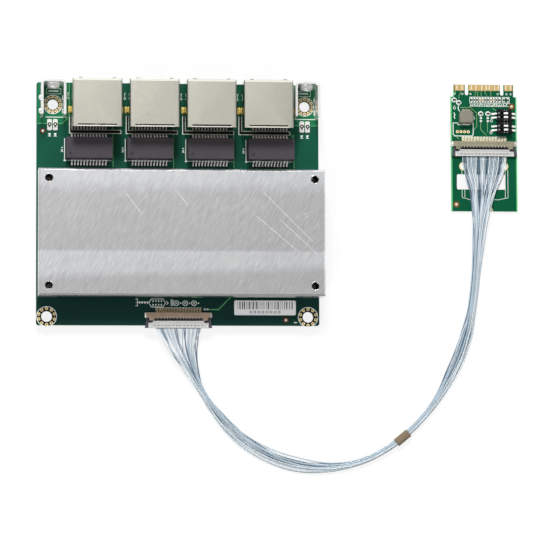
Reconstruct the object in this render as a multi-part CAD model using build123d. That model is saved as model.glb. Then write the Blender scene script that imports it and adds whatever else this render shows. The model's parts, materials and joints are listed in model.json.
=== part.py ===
from build123d import *
import math
import os

os.makedirs("parts", exist_ok=True)

# Ethernet adapter card in two boards. The main board, at the left, has four network jacks along its front
# edge, a line transformer behind each one and an aluminium heat spreader over its chips. A harness of fine
# coaxial wires joins it to a short plug-in card at the right. Everything lies on one flat surface at z = 0.
# X runs to the right, Y to the front edge with the jacks, Z up. All sizes are in millimetres.

# Main board
board_t = 1.6
stand_height = 1.7              # room below the board for screw heads, pegs and pin tips
board_corner_cut = 0.5
front_hole_setback = 7.2
rear_hole_left_margin = 3.4
rear_hole_right_margin = 3.7
rear_hole_margin = 2.8
mount_hole_r = 1.75
rear_strip = 8.9                # free strip behind the heat spreader

# Panel brackets at the front corners
bracket_w = 8.1
bracket_d = 11.4
bracket_h = 10.0
bracket_t = 0.8
bracket_bend_r = 1.5
bracket_setback = 0.25
bracket_left_margin = 1.25
bracket_right_margin = 0.45
bracket_left_gap = 1.85
bracket_right_gap = 1.05
bracket_leg_w = 1.6
bracket_leg_places = (4.65, 9.05)
bracket_leg_tip = 0.5
boss_height = 6.0
boss_r = 2.0
boss_l = 1.5
panel_thread_r = 1.25

# Network jacks
jack_count = 4
jack_w = 16.0
jack_d = 15.6
jack_h = 13.5
jack_gap = 2.4
jack_setback = 0.4
shield_t = 0.25
shield_bend_r = 0.5
shield_fit = 0.05
shield_window_w = 13.2
shield_window_low = 0.9
shield_window_high = 12.2
shield_slit_w = 12.5
shield_slit = 0.4
shield_slit_inset = 0.45
shield_leg_w = 1.6
shield_leg_out = 0.7
shield_leg_setback = 8.4
shield_leg_rise = 0.6
finger_w = 1.2
finger_reach = 0.35
finger_drop = 2.2
finger_spread = 10.8
cavity_w = 11.9
cavity_floor = 3.9
cavity_high = 7.0
cavity_wall = 1.0               # moulding between the plug cavity and the pin bay
latch_w = 6.5
latch_drop = 1.5
notch_w = 3.3
notch_drop = 1.2
pin_bay = 3.2                   # space behind the moulding where the contact tails go down
peg_r = 1.6
peg_inset = 2.285               # from the shield's side to the peg's axis
peg_setback = 6.4
peg_fit = 0.1
peg_sides = 12

# Jack contacts
contact_count = 8
contact_pitch = 1.02
contact_w = 0.45
contact_t = 0.25
contact_front_gap = 1.8         # from the moulding's face to the fold of the spring
contact_fold = 1.0
contact_drop = 2.2
contact_end_gap = 1.3
contact_row_near = 0.9
contact_row_far = 2.2
pin_tip = 0.35
pin_hole_r = 0.45
pin_sides = 4

# Line transformers
transformer_w = 15.0
transformer_d = 7.1
transformer_h = 6.0
transformer_standoff = 0.2
transformer_draft = 0.12
transformer_pitch_step = 1.3    # how much further apart they stand than the jacks
transformer_left_margin = 9.45
transformer_span = 10.2         # over the lead tips
transformer_front_gap = 0.8
lead_count = 12
lead_pitch = 1.0
lead_w = 0.42
lead_t = 0.2
lead_exit = 2.2
lead_foot = 0.95

# Heat spreader and the chips below it
spreader_d = 40.9
spreader_t = 7.0
spreader_under = 4.0            # board to the underside
spreader_left_inset = 0.45
spreader_right_overhang = 0.85
spreader_front_gap = 2.2
spreader_hole_inset_x = 3.35
spreader_hole_inset_y = 3.15
spreader_edge = 0.55
spreader_thread_r = 1.25
spreader_thread_depth = 5.5     # blind, from the top
spreader_foot_w = 6.0
foot_thread_r = 1.05
foot_thread_depth = 4.6         # blind, from below
screw_r = 0.92
screw_sides = 8
screw_head_r = 2.3
screw_head_sides = 16
screw_hole_r = 1.6
hidden_hole_sides = 12          # round holes below the heat spreader
screw_engagement = 4.2
chip_w = 7.0
chip_h = 0.9
chip_setback = 7.5
bridge_w = 12.0
bridge_h = 1.3
bridge_setback = 24.0
pad_t = 0.5
pedestal_margin = 0.5

# Status lamps beside the brackets
lamp_w = 1.5
lamp_l = 3.3
lamp_h = 0.6
lamp_lens_w = 1.3
lamp_lens_l = 1.5
lamp_lens_h = 0.35
lamp_gap = 0.35
lamp_left_inset = 5.15
lamp_right_inset = 4.55
lamp_setback = 13.9

# Cable connectors, one pair on each board
wire_count = 30
wire_pitch = 0.5
base_t = 0.3
base_setback = 0.2              # behind the front edge of the socket's shell
bar_t = 0.25
arm_w = 0.95
arm_h = 1.0
arm_start = 1.9
arm_lap = 0.1                   # how far an arm reaches over the base
arm_bevel = 0.4
socket_shell_w = 19.0
socket_shell_d = 2.1
socket_shell_t = 0.2
socket_ear = 1.6
socket_ear_drop = 0.5
socket_shell_gap = 0.3          # between the contact bar and the shell
solder_tab_w = 0.95
solder_tab_d = 1.75
solder_tab_t = 0.15
terminal_w = 0.26
terminal_t = 0.12
terminal_tail = 1.5
terminal_reach = 2.1
plug_start = 2.75
plug_d = 2.25
plug_w = 19.6
plug_neck_w = 16.6
plug_neck_d = 0.65
plug_body_w = 17.6
plug_body_h = 0.62
plug_shell_t = 0.2
plug_fit = 0.05
board_receptacle_rear = 4.15
card_receptacle_setback = 18.9

# Labels
label_t = 0.1
label_corner = 0.3
board_label_w = 20.1
board_label_d = 4.8
board_label_right = 17.75
board_label_rear = 5.8
card_label_w = 16.1
card_label_d = 5.0
card_label_left = 9.9
card_label_share = 0.464        # its place in the free strip behind the connector

# Plug-in card
card_w = 22.0
card_l = 42.0
card_t = 0.8
card_gap = 44.3                 # free space between the two boards
card_lead = 1.1                 # how far the card's front edge is past the main board's
tongue_w = 19.85
tongue_l = 4.0
key_w = 1.2
key_l = 3.5
key_left = 5.625
key_right = 6.125
end_notch_r = 1.75
card_hole_r = 1.1
card_hole_left = 6.9
card_hole_right = 6.6
card_hole_setback = 27.1
edge_plate_t = 0.05
edge_plate_l = 2.0
edge_plate_w = 0.36
edge_plate_pitch = 0.5
edge_plate_clear = 0.05         # least distance from a key notch

# Inductor on the card
inductor_w = 4.5
inductor_l = 4.6
inductor_h = 2.9
inductor_cut = 1.15
inductor_edge = 0.3
inductor_left = 4.9
inductor_setback = 10.75

# Slide switches on the card
switch_w = 4.8
switch_l = 3.87
switch_h = 2.2
switch_standoff = 0.1
switch_right = 4.4
switch_first_setback = 10.3
switch_gap = 0.3
switch_lead_span = 7.5
switch_lead_pitch = 1.27
switch_lead_w = 0.5
switch_lead_t = 0.2
switch_lead_exit = 1.0
switch_lead_foot = 0.75
slot_l = 2.35
slot_w = 0.76
slot_depth = 0.85
slider_l = 1.35
slider_w = 0.62
slider_proud = 0.12
slider_fit = 0.05

# Chip parts on the card
small_l = 1.0
small_w = 0.5
small_h = 0.35
small_pitch = 0.926
row_count = 11
row_left = 7.0
row_setback = 5.1
row_gap = 0.6                   # extra space before the last two parts of the row
row_pair_gap = 0.3              # extra space between those two
corner_part_left = 1.15
corner_part_step_x = 1.55
corner_part_step_y = 0.9
loose_part_setback = 9.6
loose_part_left = 1.0           # from the card's middle
loose_part_right = 1.4

# Harness
bundle_r = 1.15
bundle_sides = 8
bundle_z = 1.45
fan_t = 0.5
fan_near_w = 10.6               # the fan's width and height at the two points of its route
fan_near_h = 0.8
fan_far_w = 6.6
fan_far_h = 1.2
fan_end_w = 2.2
fan_end_h = 1.6
arc_share = 0.45                # of the shorter run beside a corner, taken up by its arc
tape_l = 5.0
tape_t = 0.15
tape_fit = 0.06

# The overall layout follows from the pieces
jack_pitch = jack_w + jack_gap
jack_row_w = jack_count * jack_w + (jack_count - 1) * jack_gap
board_w = (
    bracket_left_margin + bracket_w + bracket_left_gap + jack_row_w
    + bracket_right_gap + bracket_w + bracket_right_margin
)
board_d = (
    jack_setback + jack_d + transformer_front_gap + transformer_span
    + spreader_front_gap + spreader_d + rear_strip
)
total_w = board_w + card_gap + card_w
total_d = board_d + card_lead
board_left = -total_w / 2
board_right = board_left + board_w
board_x = (board_left + board_right) / 2
board_rear = -total_d / 2
board_front = board_rear + board_d
board_y = (board_rear + board_front) / 2
deck = stand_height + board_t
card_right = total_w / 2
card_left = card_right - card_w
card_x = (card_left + card_right) / 2
card_front = total_d / 2
card_rear = card_front - card_l
card_deck = edge_plate_t + card_t

left_bracket_x = board_left + bracket_left_margin + bracket_w / 2
right_bracket_x = board_right - bracket_right_margin - bracket_w / 2
bracket_front = board_front - bracket_setback
front_hole_y = board_front - front_hole_setback
rear_hole_y = board_rear + rear_hole_margin
mount_holes = (
    (left_bracket_x, front_hole_y),
    (right_bracket_x, front_hole_y),
    (board_left + rear_hole_left_margin, rear_hole_y),
    (board_right - rear_hole_right_margin, rear_hole_y),
)
jack_front = board_front - jack_setback
jack_rear = jack_front - jack_d
first_jack_x = board_left + bracket_left_margin + bracket_w + bracket_left_gap + jack_w / 2
jack_places = [first_jack_x + jack_pitch * index for index in range(jack_count)]
moulding_rear = jack_rear + shield_t + pin_bay
cavity_z = deck + cavity_floor
ceiling_z = cavity_z + cavity_high
shield_leg_y = jack_front - shield_leg_setback
peg_y = jack_front - peg_setback
near_row_y = moulding_rear - contact_row_near
far_row_y = moulding_rear - contact_row_far
transformer_y = jack_rear - transformer_front_gap - transformer_span / 2
first_transformer_x = board_left + transformer_left_margin + transformer_w / 2
transformer_places = [
    first_transformer_x + (jack_pitch + transformer_pitch_step) * index for index in range(jack_count)
]
spreader_left = board_left + spreader_left_inset
spreader_right = board_right + spreader_right_overhang
spreader_front = transformer_y - transformer_span / 2 - spreader_front_gap
spreader_rear = spreader_front - spreader_d
spreader_z = deck + spreader_under
spreader_holes = [
    (x, y)
    for x in (spreader_left + spreader_hole_inset_x, spreader_right - spreader_hole_inset_x)
    for y in (spreader_front - spreader_hole_inset_y, spreader_rear + spreader_hole_inset_y)
]
board_socket_y = board_rear + board_receptacle_rear
card_socket_y = card_front - card_receptacle_setback
plug_end = plug_start + plug_d
base_w = plug_w + 2 * (plug_fit + arm_lap)


def block(x, y, z, w, d, h):
    """A box centred on x and y that stands on z."""
    return Pos(x, y, z) * Box(w, d, h, align=(Align.CENTER, Align.CENTER, Align.MIN))


def span(x0, x1, y0, y1, z0, z1):
    """A box between two corners."""
    return block((x0 + x1) / 2, (y0 + y1) / 2, z0, x1 - x0, y1 - y0, z1 - z0)


def disc(x, y, z, r, h):
    """An upright cylinder that stands on z."""
    return Pos(x, y, z) * Cylinder(r, h, align=(Align.CENTER, Align.CENTER, Align.MIN))


def facet_peg(x, y, z, r, h, sides):
    """An upright prism, for the many small round pins and holes, whose flats lie at the radius r."""
    return extrude(Pos(x, y, z) * RegularPolygon(r, sides, major_radius=False), amount=h)


def slab(points, z, t):
    """A flat plate of the given outline, standing on z."""
    return extrude(Plane((0, 0, z)) * make_face(Polyline(*points, close=True)), amount=t)


def strip(points, x, w):
    """A bent strip: its side outline in Y and Z, its width along X."""
    side = Plane((x - w / 2, 0, 0), x_dir=(0, 1, 0), z_dir=(1, 0, 0))
    return extrude(side * make_face(Polyline(*points, close=True)), amount=w)


def gull_lead(body, exit_z, tip, foot, t, w):
    """A gull-wing lead along +Y: out of the body, down, and out again on the pad."""
    knee = tip - foot
    points = [
        (body, exit_z), (knee, exit_z), (knee, 0), (tip, 0),
        (tip, t), (knee + t, t), (knee + t, exit_z + t), (body, exit_z + t),
    ]
    return strip(points, 0, w)


def save(name, *shapes):
    """Writes one node: its solids, each one separate."""
    pieces = [solid for shape in shapes for solid in shape.solids()]
    whole = pieces[0] if len(pieces) == 1 else Compound(children=pieces)
    export_step(whole, f"parts/{name}.step")


def make_main_board():
    """Glass-fibre board with every hole and slot that a piece passes through."""
    board = block(board_x, board_y, stand_height, board_w, board_d, board_t)
    board = chamfer(board.edges().filter_by(Axis.Z), board_corner_cut)
    for x, y in mount_holes:
        board -= disc(x, y, stand_height, mount_hole_r, board_t)
    for x, y in spreader_holes:
        board -= facet_peg(x, y, stand_height, screw_hole_r, board_t, hidden_hole_sides)
    for jack_x in jack_places:
        for side in (-1, 1):
            peg_x = jack_x + side * (jack_w / 2 - peg_inset)
            board -= facet_peg(peg_x, peg_y, stand_height, peg_r + peg_fit, board_t, peg_sides)
            leg_x = jack_x + side * (jack_w / 2 + shield_leg_out - shield_t / 2)
            board -= block(
                leg_x, shield_leg_y, stand_height,
                shield_t + 2 * peg_fit, shield_leg_w + 2 * peg_fit, board_t,
            )
        for index in range(contact_count):
            pin_x = contact_x(jack_x, index)
            board -= facet_peg(pin_x, contact_row(index), stand_height, pin_hole_r, board_t, pin_sides)
    for bracket_x in (left_bracket_x, right_bracket_x):
        for side in (-1, 1):
            for place in bracket_leg_places:
                board -= block(
                    bracket_x + side * (bracket_w - bracket_t) / 2, bracket_front - place, stand_height,
                    bracket_t + 2 * peg_fit, bracket_leg_w + 2 * peg_fit, board_t,
                )
    save("main_board", board)


def contact_x(jack_x, index):
    """Where one of the jack's contacts runs."""
    return jack_x + (index - (contact_count - 1) / 2) * contact_pitch


def contact_row(index):
    """The contacts' tails go down in two staggered rows."""
    return near_row_y if index % 2 == 0 else far_row_y


def make_bracket(name, x):
    """Tinned sheet folded to a U, open to the rear, with an extruded thread in its front wall."""
    outer = fillet(Rectangle(bracket_w, bracket_d).vertices().group_by(Axis.Y)[-1], bracket_bend_r)
    inner = Rectangle(bracket_w - 2 * bracket_t, bracket_d)
    inner = fillet(inner.vertices().group_by(Axis.Y)[-1], bracket_bend_r - bracket_t)
    profile = outer - Pos(0, -bracket_t) * inner
    bracket = extrude(Pos(x, bracket_front - bracket_d / 2, deck) * profile, amount=bracket_h)
    across = Plane((x, bracket_front, deck + boss_height), x_dir=(1, 0, 0), z_dir=(0, -1, 0))
    bracket += extrude(across.offset(bracket_t / 2) * Circle(boss_r), amount=bracket_t / 2 + boss_l)
    bracket -= extrude(across * Circle(panel_thread_r), amount=bracket_t + boss_l)
    for side in (-1, 1):
        for place in bracket_leg_places:
            bracket += block(
                x + side * (bracket_w - bracket_t) / 2, bracket_front - place, bracket_leg_tip,
                bracket_t, bracket_leg_w, deck - bracket_leg_tip,
            )
    save(name, bracket)


def make_shield(name, x):
    """Folded jack shield: top, two sides, rear cover and a front frame round the plug window."""
    low, high = deck, deck + jack_h
    middle_y = (jack_front + jack_rear) / 2
    shield = block(x, middle_y, low, jack_w, jack_d, jack_h)
    top_bends = shield.edges().filter_by(Axis.Y).group_by(Axis.Z)[-1]
    shield = fillet(top_bends, shield_bend_r)
    shield -= block(x, middle_y, low, jack_w - 2 * shield_t, jack_d - 2 * shield_t, jack_h - shield_t)
    shield -= span(
        x - shield_window_w / 2, x + shield_window_w / 2, jack_front - shield_t, jack_front,
        low + shield_window_low, low + shield_window_high,
    )
    slit_y = jack_rear + shield_slit_inset
    shield -= span(
        x - shield_slit_w / 2, x + shield_slit_w / 2, slit_y, slit_y + shield_slit, high - shield_t, high
    )
    finger = [
        (jack_front, high - finger_drop), (jack_front + finger_reach, high - finger_drop / 2),
        (jack_front + finger_reach, high - finger_reach), (jack_front, high - shield_t / 2),
    ]
    for side in (-1, 1):
        shield += strip(finger, x + side * finger_spread / 2, finger_w)
        wall = x + side * jack_w / 2
        out = wall + side * shield_leg_out
        leg_low = shield_leg_y - shield_leg_w / 2
        leg_high = shield_leg_y + shield_leg_w / 2
        shelf = low + shield_leg_rise
        shield += span(min(wall, out), max(wall, out), leg_low, leg_high, shelf, shelf + shield_t)
        inside = out - side * shield_t
        shield += span(min(inside, out), max(inside, out), leg_low, leg_high, pin_tip, shelf)
    save(name, shield)


def make_housing(name, x):
    """Black jack moulding: plug cavity with its latch step, wire slot at the back, and two board pegs."""
    face_y = jack_front - shield_t
    half_w = jack_w / 2 - shield_t - shield_fit
    top_z = deck + jack_h - shield_t - shield_fit
    back_y = moulding_rear + cavity_wall
    housing = span(x - half_w, x + half_w, moulding_rear, face_y, deck, top_z)
    housing -= span(x - cavity_w / 2, x + cavity_w / 2, back_y, face_y, cavity_z, ceiling_z)
    latch_z = cavity_z - latch_drop
    housing -= span(x - latch_w / 2, x + latch_w / 2, back_y, face_y, latch_z, cavity_z)
    housing -= span(x - notch_w / 2, x + notch_w / 2, back_y, face_y, latch_z - notch_drop, latch_z)
    slot_half = (contact_count - 1) / 2 * contact_pitch + contact_w
    housing -= span(
        x - slot_half, x + slot_half, moulding_rear, back_y, ceiling_z - contact_t - shield_fit, ceiling_z
    )
    for side in (-1, 1):
        peg_x = x + side * (jack_w / 2 - peg_inset)
        housing += facet_peg(peg_x, peg_y, 0, peg_r, deck, peg_sides)
    save(name, housing)


def make_jack_contacts(name, x):
    """Eight spring wires: down behind the moulding as pins, along its ceiling, and folded back as springs."""
    fold_y = jack_front - shield_t - contact_front_gap
    end_y = moulding_rear + cavity_wall + contact_end_gap
    end_z = ceiling_z - contact_drop
    wires = []
    for index in range(contact_count):
        tail_y = contact_row(index) - contact_t / 2
        outline = [
            (tail_y, pin_tip), (tail_y, ceiling_z), (fold_y, ceiling_z),
            (end_y, end_z), (end_y, end_z + contact_t),
            (fold_y - contact_fold, ceiling_z - contact_t), (tail_y + contact_t, ceiling_z - contact_t),
            (tail_y + contact_t, pin_tip),
        ]
        wires.append(strip(outline, contact_x(x, index), contact_w))
    save(name, *wires)


def make_transformer(number, x):
    """Moulded line transformer with drafted long sides, and twelve leads on each of them."""
    low = deck + transformer_standoff
    seam_low = deck + lead_exit
    seam_high = seam_low + lead_t
    high = deck + transformer_h
    half = transformer_d / 2
    outline = [
        (half - transformer_draft, low), (half, seam_low), (half, seam_high), (half - transformer_draft, high)
    ]
    mirrored = [(-y, z) for y, z in reversed(outline)]
    section = [(transformer_y + y, z) for y, z in outline + mirrored]
    save(f"transformer_{number}_body", strip(section, x, transformer_w))
    lead = gull_lead(half, lead_exit, transformer_span / 2, lead_foot, lead_t, lead_w)
    leads = []
    for index in range(lead_count):
        lead_x = x + (index - (lead_count - 1) / 2) * lead_pitch
        for turn in (0, 180):
            leads.append(Pos(lead_x, transformer_y, deck) * Rot(0, 0, turn) * lead)
    save(f"transformer_{number}_leads", *leads)


def make_spreader():
    """Machined aluminium block: bevelled top edge, four square feet, a pedestal over each chip.

    Each foot has a blind thread from below for its screw, in line with the blind thread in the top.
    """
    width = spreader_right - spreader_left
    middle_x = (spreader_left + spreader_right) / 2
    middle_y = (spreader_front + spreader_rear) / 2
    spreader = block(middle_x, middle_y, spreader_z, width, spreader_d, spreader_t)
    spreader = chamfer(spreader.faces().sort_by(Axis.Z)[-1].edges(), spreader_edge)
    for x, y in spreader_holes:
        spreader += block(x, y, deck, spreader_foot_w, spreader_foot_w, spreader_under)
    for x, y, w, h in chip_places():
        low = deck + h + pad_t
        spreader += block(x, y, low, w + 2 * pedestal_margin, w + 2 * pedestal_margin, spreader_z - low)
    for x, y in spreader_holes:
        spreader -= facet_peg(x, y, deck, foot_thread_r, foot_thread_depth, hidden_hole_sides)
        top_thread_z = spreader_z + spreader_t - spreader_thread_depth
        spreader -= disc(x, y, top_thread_z, spreader_thread_r, spreader_thread_depth)
    save("heat_spreader", spreader)


def chip_places():
    """Centre, width and height of each chip under the heat spreader."""
    chips = [(x, spreader_front - chip_setback, chip_w, chip_h) for x in transformer_places]
    chips.append((board_x, spreader_front - bridge_setback, bridge_w, bridge_h))
    return chips


def make_chips():
    """Four network controllers and one bridge chip, each with a soft pad up to the heat spreader."""
    chips = [block(x, y, deck, w, w, h) for x, y, w, h in chip_places()]
    pads = [block(x, y, deck + h, w, w, pad_t) for x, y, w, h in chip_places()]
    save("lan_chips", *chips[:-1])
    save("bridge_chip", chips[-1])
    save("thermal_pads", *pads)


def make_spreader_screws():
    """Pan-head screws from below the board into the heat spreader's feet."""
    screws = []
    for x, y in spreader_holes:
        head = facet_peg(x, y, 0, screw_head_r, stand_height, screw_head_sides)
        shank = facet_peg(x, y, stand_height, screw_r, board_t + screw_engagement, screw_sides)
        screws.append(head + shank)
    save("spreader_screws", *screws)


def make_status_lamps():
    """Two chip lamps behind each bracket: a white base with a lens block on it."""
    lamps = []
    y = board_front - lamp_setback
    for x in (board_left + lamp_left_inset, board_right - lamp_right_inset):
        for side in (-1, 1):
            lamp_x = x + side * (lamp_w + lamp_gap) / 2
            lamp = block(lamp_x, y, deck, lamp_w, lamp_l, lamp_h)
            lamp += block(lamp_x, y, deck + lamp_h, lamp_lens_w, lamp_lens_l, lamp_lens_h)
            lamps.append(lamp)
    save("status_lamps", *lamps)


def make_cable_connector(prefix, x, y, z):
    """Receptacle and cable plug. The socket's shell starts at y and the plug goes on towards -Y."""
    bar_z = z + base_t
    shelf_z = bar_z + bar_t
    shell_z = shelf_z + terminal_t + socket_shell_gap
    base = span(x - base_w / 2, x + base_w / 2, y - plug_end, y - base_setback, z, bar_z)
    bar_w = (wire_count + 1) * wire_pitch
    base += span(x - bar_w / 2, x + bar_w / 2, y - terminal_reach, y - base_setback, bar_z, shelf_z)
    for side in (-1, 1):
        inner = x + side * base_w / 2
        outer = inner + side * arm_w
        arm = [
            (inner - side * arm_lap, y - arm_start), (inner + side * arm_w / 2, y - arm_start - arm_bevel),
            (outer, y - plug_end), (inner - side * arm_lap, y - plug_end),
        ]
        base += slab(arm, z, arm_h)
    save(f"{prefix}_receptacle_body", base)

    half = socket_shell_w / 2
    low = y - socket_shell_d
    ear = low - socket_ear_drop
    outline = [
        (x - half, y), (x + half, y), (x + half, ear), (x + half - socket_ear, ear),
        (x + half - socket_ear, low), (x - half + socket_ear, low),
        (x - half + socket_ear, ear), (x - half, ear),
    ]
    shell = slab(outline, shell_z, socket_shell_t)
    for side in (-1, 1):
        foot = x + side * base_w / 2
        edge = x + side * half
        tip = foot + side * solder_tab_w
        shell += span(min(edge, foot), max(edge, foot), y - solder_tab_d, y, shell_z, shell_z + socket_shell_t)
        wall = foot + side * socket_shell_t
        shell += span(
            min(foot, wall), max(foot, wall), y - solder_tab_d, y, z, shell_z + socket_shell_t
        )
        shell += span(min(foot, tip), max(foot, tip), y - solder_tab_d, y, z, z + solder_tab_t)
    save(f"{prefix}_receptacle_shell", shell)

    tail = y + terminal_tail
    reach = y - terminal_reach
    outline = [
        (tail, z), (tail, z + terminal_t), (y, shelf_z + terminal_t),
        (reach, shelf_z + terminal_t), (reach, shelf_z), (y, shelf_z),
    ]
    terminals = [
        strip(outline, x + (index - (wire_count - 1) / 2) * wire_pitch, terminal_w)
        for index in range(wire_count)
    ]
    save(f"{prefix}_receptacle_contacts", *terminals)

    plug_z = bar_z + plug_fit
    core = span(
        x - plug_body_w / 2, x + plug_body_w / 2, y - plug_end,
        y - socket_shell_d - socket_ear_drop - plug_fit, plug_z, plug_z + plug_body_h,
    )
    save(f"{prefix}_plug_body", core)

    top = y - plug_start
    neck = plug_neck_w / 2
    wide = plug_w / 2
    step = top - plug_neck_d
    rear = y - plug_end
    outline = [
        (x - neck, top), (x + neck, top), (x + neck, step), (x + wide, step),
        (x + wide, rear), (x - wide, rear), (x - wide, step), (x - neck, step),
    ]
    cover = slab(outline, plug_z + plug_body_h, plug_shell_t)
    for side in (-1, 1):
        skirt = x + side * wide
        inner = skirt - side * plug_shell_t
        cover += span(min(inner, skirt), max(inner, skirt), rear, step, plug_z, plug_z + plug_body_h)
    save(f"{prefix}_plug_shell", cover)
    return Vector(x, y - plug_end, plug_z + plug_body_h / 2)


def make_labels():
    """Plain white paper labels with their corners cut."""
    card_strip_y = card_socket_y - plug_end
    card_label_y = card_strip_y - card_label_share * (card_strip_y - card_rear)
    for name, x, y, z, w, d in (
        (
            "board_label", board_right - board_label_right, board_rear + board_label_rear, deck,
            board_label_w, board_label_d,
        ),
        (
            "card_label", card_left + card_label_left, card_label_y, card_deck,
            card_label_w, card_label_d,
        ),
    ):
        label = block(x, y, z, w, d, label_t)
        save(name, chamfer(label.edges().filter_by(Axis.Z), label_corner))


def make_card_board():
    """Thin card: narrowed tongue with two key notches, two plated holes, a half-round notch at its rear."""
    low = edge_plate_t
    shoulder = card_front - tongue_l
    card = span(card_left, card_right, card_rear, shoulder, low, card_deck)
    card += block(card_x, card_front - tongue_l / 2, low, tongue_w, tongue_l, card_t)
    for x in (card_x - key_left, card_x + key_right):
        end_y = card_front - key_l + key_w / 2
        card -= span(x - key_w / 2, x + key_w / 2, end_y, card_front, low, card_deck)
        card -= disc(x, end_y, low, key_w / 2, card_t)
    card -= disc(card_x, card_rear, low, end_notch_r, card_t)
    for x in (card_x - card_hole_left, card_x + card_hole_right):
        card -= disc(x, card_front - card_hole_setback, low, card_hole_r, card_t)
    save("card_board", card)


def make_edge_contacts():
    """Gilt contact plates on both faces of the tongue, with none at the key notches."""
    plates = []
    count = int(tongue_w / edge_plate_pitch) - 1
    y = card_front - edge_plate_l / 2
    for index in range(count):
        x = card_x + (index - (count - 1) / 2) * edge_plate_pitch
        reach = (key_w + edge_plate_w) / 2 + edge_plate_clear
        near_key = abs(x - card_x + key_left) < reach or abs(x - card_x - key_right) < reach
        if near_key:
            continue
        plates.append(block(x, y, card_deck, edge_plate_w, edge_plate_l, edge_plate_t))
        plates.append(block(x, y, 0, edge_plate_w, edge_plate_l, edge_plate_t))
    save("card_edge_contacts", *plates)


def make_inductor():
    """Moulded inductor with two cut corners and a bevelled top."""
    x = card_left + inductor_left
    y = card_front - inductor_setback
    half_w = inductor_w / 2
    half_l = inductor_l / 2
    outline = [
        (x - half_w, y - half_l), (x + half_w, y - half_l), (x + half_w, y + half_l - inductor_cut),
        (x + half_w - inductor_cut, y + half_l), (x - half_w + inductor_cut, y + half_l),
        (x - half_w, y + half_l - inductor_cut),
    ]
    body = slab(outline, card_deck, inductor_h)
    save("power_inductor", chamfer(body.faces().sort_by(Axis.Z)[-1].edges(), inductor_edge))


def switch_centre(number):
    """Centre of one slide switch on the card."""
    y = card_front - switch_first_setback - (number - 1) * (switch_l + switch_gap)
    return card_right - switch_right, y


def make_switches():
    """Two slide switches: slotted black bodies, four gull-wing leads each, and two white sliders each."""
    leads = []
    lead = gull_lead(
        switch_w / 2, switch_lead_exit, switch_lead_span / 2, switch_lead_foot, switch_lead_t, switch_lead_w
    )
    top_z = card_deck + switch_h
    for number in (1, 2):
        x, y = switch_centre(number)
        low = card_deck + switch_standoff
        body = block(x, y, low, switch_w, switch_l, switch_h - switch_standoff)
        for letter, side in (("a", 1), ("b", -1)):
            place = y + side * switch_lead_pitch / 2
            body -= block(x, place, top_z - slot_depth, slot_l, slot_w, slot_depth)
            slider_x = x + slot_l / 2 - slider_fit - slider_l / 2
            slider = block(
                slider_x, place, top_z - slot_depth + slider_fit,
                slider_l, slider_w, slot_depth - slider_fit + slider_proud,
            )
            save(f"switch_{number}_slider_{letter}", slider)
            for turn in (90, -90):
                leads.append(Pos(x, place, card_deck) * Rot(0, 0, turn) * lead)
        save(f"switch_{number}_body", body)
    save("switch_leads", *leads)


def make_chip_parts():
    """Small resistors and capacitors on the card: a row behind the tongue and a few single ones."""
    y = card_front - row_setback
    first = card_left + row_left
    places = [(first + index * small_pitch, y) for index in range(row_count)]
    second = places[-1][0] + small_pitch + row_gap
    places += [(second, y), (second + small_pitch + row_pair_gap, y)]
    corner = card_left + corner_part_left
    places += [(corner, y), (corner + corner_part_step_x, y - corner_part_step_y)]
    loose_y = card_front - loose_part_setback
    places += [(card_x - loose_part_left, loose_y), (card_x + loose_part_right, loose_y)]
    save("card_chip_parts", *[block(x, y, card_deck, small_w, small_l, small_h) for x, y in places])


# The harness route. The first and last points are the plugs' wire ends, the others are chosen by hand.
board_fan_route = [(-32.45, -46.15, 3.2), (-30.15, -52.15, 2.1)]
bundle_route = [
    (-26.75, -59.45, bundle_z),
    (-21.75, -67.35, bundle_z),
    (-15.25, -74.75, bundle_z),
    (-6.55, -80.95, bundle_z),
    (3.65, -85.05, bundle_z),
    (14.85, -86.45, bundle_z),
    (26.05, -84.75, bundle_z),
    (35.85, -79.95, bundle_z),
    (44.45, -72.95, bundle_z),
    (51.75, -64.45, bundle_z),
    (57.45, -54.55, bundle_z),
    (61.65, -43.75, bundle_z),
    (64.05, -32.35, bundle_z),
    (65.15, -21.15, bundle_z),
    (66.05, -10.15, 2.7),
]
card_fan_route = [(66.85, -1.55, 2.6), (67.65, 7.45, 2.0)]


def heading(start, end):
    """Direction from one point to the next."""
    return (Vector(*end) - Vector(*start)).normalized()


def cross_plane(point, direction):
    """A plane across the harness, with its second axis as near upright as it can be."""
    flat = Vector(-direction.Y, direction.X, 0).normalized()
    return Plane(Vector(*point), x_dir=flat, z_dir=direction)


def bend_radii(route):
    """The largest tangent arc that each corner's two runs leave room for."""
    radii = []
    for before, corner, after in zip(route, route[1:], route[2:]):
        turn = heading(before, corner).get_angle(heading(corner, after))
        shorter = min(math.dist(before, corner), math.dist(corner, after))
        radii.append(arc_share * shorter / math.tan(math.radians(turn / 2)))
    return radii


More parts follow.
